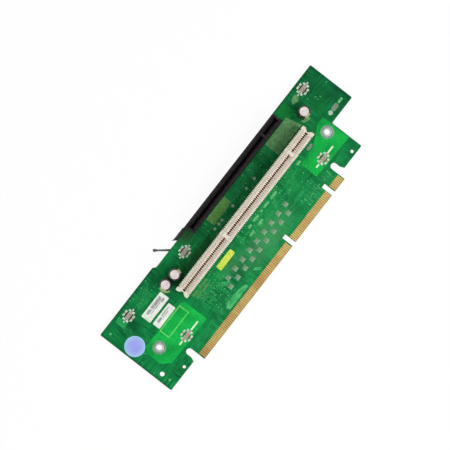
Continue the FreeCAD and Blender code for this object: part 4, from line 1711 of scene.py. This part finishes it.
# %% Labels
label_corner = 0.4 * mm
label_face = board_top + 0.1 * mm
ink_rise = 0.015 * mm
for node in ("long_label", "short_label"):
    low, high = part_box(node)
    sheet = plate([cut_rectangle(low.x, low.y, high.x, high.y, label_corner)], low.z, high.z)
    piece(node + "_sheet", [sheet], paper, [node])
label_bars = [
    field(28.6, 14.6, 32.6, 16.4),
    field(33.2, 14.4, 42.6, 16.6),
    field(30.4, 17.0, 39.6, 17.6),
    field(40.4, 17.0, 43.4, 18.4),
    field(28.8, 23.0, 32.4, 24.6),
    field(33.2, 22.9, 40.6, 23.7),
    field(33.4, 24.3, 38.6, 24.8),
]
bar_plates = [plate([outline], label_face, label_face + ink_rise) for outline in label_bars]
piece("label_bars", bar_plates, label_grey)

# %% [markdown]
# ## Screen print
# The mask carries screen print: a pale frame beside the left hole, a plain yellow bar, two faint fields
# and some small pale marks between the slots, crescents beside two capacitors, and short bars beside the
# parts. All of it is thin ink, so it is made of thin plates, a hair above the mask, with one piece for
# each ink.

# %% Thin ink
print_low = board_top + copper_rise
print_high = print_low + ink_rise
crescent_inner, crescent_outer = 4.2 * mm, 5.6 * mm
crescent_steps = 12


def inked(name, finish, *shapes):
    """Piece of one ink from its shapes, each an outline with its holes."""
    plates = [plate(outlines, print_low, print_high) for outlines in shapes]
    return piece(name, plates, finish)


def crescent(spot, start, end):
    """Outline of a crescent beside a capacitor, between two angles in degrees."""
    turns = sweep(start, end, crescent_steps)
    inner = [spoke(spot, crescent_inner, turn) for turn in turns]
    return inner + [spoke(spot, crescent_outer, turn) for turn in turns[::-1]]


print("ink is", round(ink_rise / mm, 3), "mm thick")

# %% Screen print
haze_size, haze_depth, haze_corner = 1.9, 15.2, 0.5
haze_places = (96.5, 100.6, 103.7, 115.0, 129.0, 137.0)
inked("pale_print", pale_ink, [field(25.2, 28.0, 45.9, 35.6), field(25.9, 28.7, 45.2, 34.9)])
inked("yellow_print", yellow_ink, [field(79.0, 31.4, 93.6, 35.4, corner=0.6)])
olive_field = field(99.3, 8.6, 116.7, 13.6)
inked("olive_print", olive_ink, [olive_field])
inked("olive_frame", sage_ink, [field(98.8, 8.0, 117.2, 14.1), olive_field])
sage_field = [(159.0, 8.4), (180.6, 8.4), (183.2, 19.0), (159.0, 19.0)]
sage_mark = [(189.6, 6.8), (191.0, 4.4), (194.0, 3.6), (196.0, 4.2), (196.0, 6.6), (193.4, 8.0)]
sage_crescent = crescent(capacitor_spots[2], 206, 278)
inked("sage_print", sage_ink, [readings(sage_field)], [readings(sage_mark)], [sage_crescent])
grey_fields = (field(202.2, 27.0, 207.6, 30.2, corner=0.8), field(172.6, 30.6, 177.4, 32.6, corner=0.6))
inked("grey_print", grey_ink, *[[outline] for outline in grey_fields])
haze_marks = [[field(198.7, 27.2, 202.0, 30.2, corner=1.1)]]
for along in haze_places:
    haze_marks.append([field(along, haze_depth, along + haze_size, haze_depth + haze_size, haze_corner)])
inked("haze_print", haze_ink, *haze_marks)
inked(
    "white_print",
    white_ink,
    [field(38.4, 42.9, 44.8, 44.0)],
    [field(26.0, 42.9, 28.4, 44.0)],
    [field(178.9, 42.3, 184.6, 43.4)],
    [field(167.4, 42.3, 169.7, 43.4)],
)

# %% [markdown]
# The rest of the print is faint: short bars over the rows of parts below the ivory slot, round sighting
# marks near the left corners, and the crescent that shows which side of the left capacitor is its
# negative one.

# %% Faint print
bar_half, bar_corner = 0.85, 0.5
sight_radius, sight_sides = 0.8 * mm, 16


def print_bar(left, right, depth):
    """Short bar with cut corners, from its two ends and its middle's depth."""
    return [field(left, depth - bar_half, right, depth + bar_half, bar_corner)]


inked(
    "mark_print",
    mark_ink,
    print_bar(110.9, 114.1, 32.6),
    print_bar(116.2, 121.4, 32.4),
    print_bar(123.8, 125.4, 32.2),
    print_bar(127.2, 132.2, 32.2),
    print_bar(134.2, 140.2, 32.2),
    print_bar(107.8, 111.8, 36.4),
    print_bar(116.4, 121.0, 36.2),
    print_bar(208.2, 212.4, 28.6),
    print_bar(161.2, 164.8, 32.2),
    [circle(at(4.6, 4.9), sight_radius, sight_sides)],
    [circle(at(4.7, 52.2), sight_radius, sight_sides)],
)
inked(
    "faded_print",
    faded_ink,
    print_bar(55.2, 60.6, 31.4),
    print_bar(62.0, 69.6, 31.6),
    print_bar(56.0, 59.8, 34.0),
    print_bar(61.4, 67.8, 34.2),
)
inked("crescent_print", stripe_ink, [crescent(capacitor_spots[0], 158, 242)])

# %% [markdown]
# ## Switch springs
# In the cover switch the lever's cam pushes a spring leaf aside until it meets the fixed contact, and then
# both give way a little. Each strip is held at one end only, so it is set on no body and stays where it
# is in the frame. It takes the mesh of its solid, with cuts across it where it would bend. Readings along
# the strips are millimetres from the pivot, the way the cam points.

# %% Switch springs
pin_low, pin_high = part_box("switch_pivot_pin")
pivot = (pin_low + pin_high) / 2
cam_turn = math.radians(-51.2)
cam_way = Vector((math.cos(cam_turn), math.sin(cam_turn), 0))
spring_cuts = 14
spring_free_end = 1.5


def along_cam(reading):
    """Place at a reading along the way that the cam points."""
    return pivot + cam_way * reading * mm


def switch_spring(name, node, root, full_turn):
    """Strip cut across at even steps between its free end and its root, and set on no body."""
    gathered = bmesh.new()
    gathered.from_mesh(cad_nodes[node].data)
    bmesh.ops.remove_doubles(gathered, verts=gathered.verts, dist=same_point)
    for i in range(1, spring_cuts):
        place = along_cam(spring_free_end + (root - spring_free_end) * i / spring_cuts)
        parts = gathered.verts[:] + gathered.edges[:] + gathered.faces[:]
        bmesh.ops.bisect_plane(gathered, geom=parts, plane_co=place, plane_no=cam_way)
    strip = bpy.data.meshes.new(name)
    gathered.to_mesh(strip)
    gathered.free()
    bend = (along_cam(root), along_cam(full_turn))
    return piece(name, [strip], bronze, [node], bend=bend)


switch_spring("moving_spring", "switch_spring_leaf", root=5.53, full_turn=2.0)
switch_spring("fixed_spring", "switch_fixed_contact", root=4.95, full_turn=-2.5)

# %% [markdown]
# ## Pieces that keep their solids
# The board is right as it comes from the CAD, and so is the cover switch apart from its springs, so they
# only take a finish. The switch's lever rides on its own body, as in the frame, and swings about its pin.

# %% CAD finishes
for node, finish in (
    ("circuit_board", mask),
    ("switch_base", switch_black),
    ("switch_cover", switch_black),
    ("switch_lever", lever_grey),
    ("switch_pivot_pin", steel),
):
    kept = cad_nodes[node].data
    kept.materials.clear()
    kept.materials.append(finish.material)
print("CAD nodes finished")

# %% [markdown]
# ## Light and floor
# The photograph is lit softly from the side of the gold fingers, so the tall slot throws a dim band the
# other way. A large lamp does that, and a pale sky fills the rest. The floor is white, and for what the
# camera or a reflection sees it is lifted towards pure white, while it keeps part of its shadow.

# %% Lamp and sky
lamp_place = Vector((0.05, -0.35, 0.6))
lamp_data = bpy.data.lights.new("finger_side_lamp", "AREA")
lamp_data.size = 0.4
lamp_data.energy = 2.95
lamp = bpy.data.objects.new("finger_side_lamp", lamp_data)
lamp.location = lamp_place
lamp.rotation_euler = (-lamp_place).to_track_quat("-Z", "Y").to_euler()
stage_objects.link(lamp)

sky_low, sky_high = 0.2, 1.0
sky_pale, sky_dim = (0.95, 0.95, 0.95, 1), (0.4, 0.4, 0.4, 1)
sky = bpy.data.worlds.new("sky")
sky.use_nodes = True
bpy.context.scene.world = sky
sky_graph = Graph(sky.node_tree)
sky_height = sky_graph.axis(sky_graph.node("ShaderNodeTexCoord", output="Generated"), 2)
sky_colour = sky_graph.blend(sky_graph.steps(sky_height, sky_low, sky_high), sky_pale, sky_dim)
sky_graph.feed(sky.node_tree.nodes["Background"].inputs["Color"], sky_colour)
print("lamp and sky ready")

# %% Floor
floor_white, floor_rough = (0.92, 0.92, 0.92, 1), 0.9
floor_lift = 0.93
floor_reach = 2.0
floor_level = -0.1 * mm
floor_finish = Finish("white_floor", specular=0.0)
floor_finish.wear(floor_white, floor_rough)
light_path = floor_finish.node("ShaderNodeLightPath", output="Is Camera Ray")
seen = light_path + light_path.other("Is Glossy Ray") + light_path.other("Is Transmission Ray")
glow = floor_finish.node("ShaderNodeEmission", {}, {"Color": (1, 1, 1, 1), "Strength": 1.0})
plain = Value(floor_finish, floor_finish.surface.outputs[0])
lifted = floor_finish.node("ShaderNodeMixShader", {}, {0: floor_lift * seen, 1: plain, 2: glow})
floor_finish.feed(floor_finish.tree.nodes["Material Output"].inputs["Surface"], lifted)
floor_mesh = bpy.data.meshes.new("floor")
floor_mesh.from_pydata(level_ring(floor_reach, floor_reach, floor_level), [], [(0, 1, 2, 3)])
floor_mesh.materials.append(floor_finish.material)
floor = bpy.data.objects.new("floor", floor_mesh)
stage_objects.link(floor)
print("floor ready")
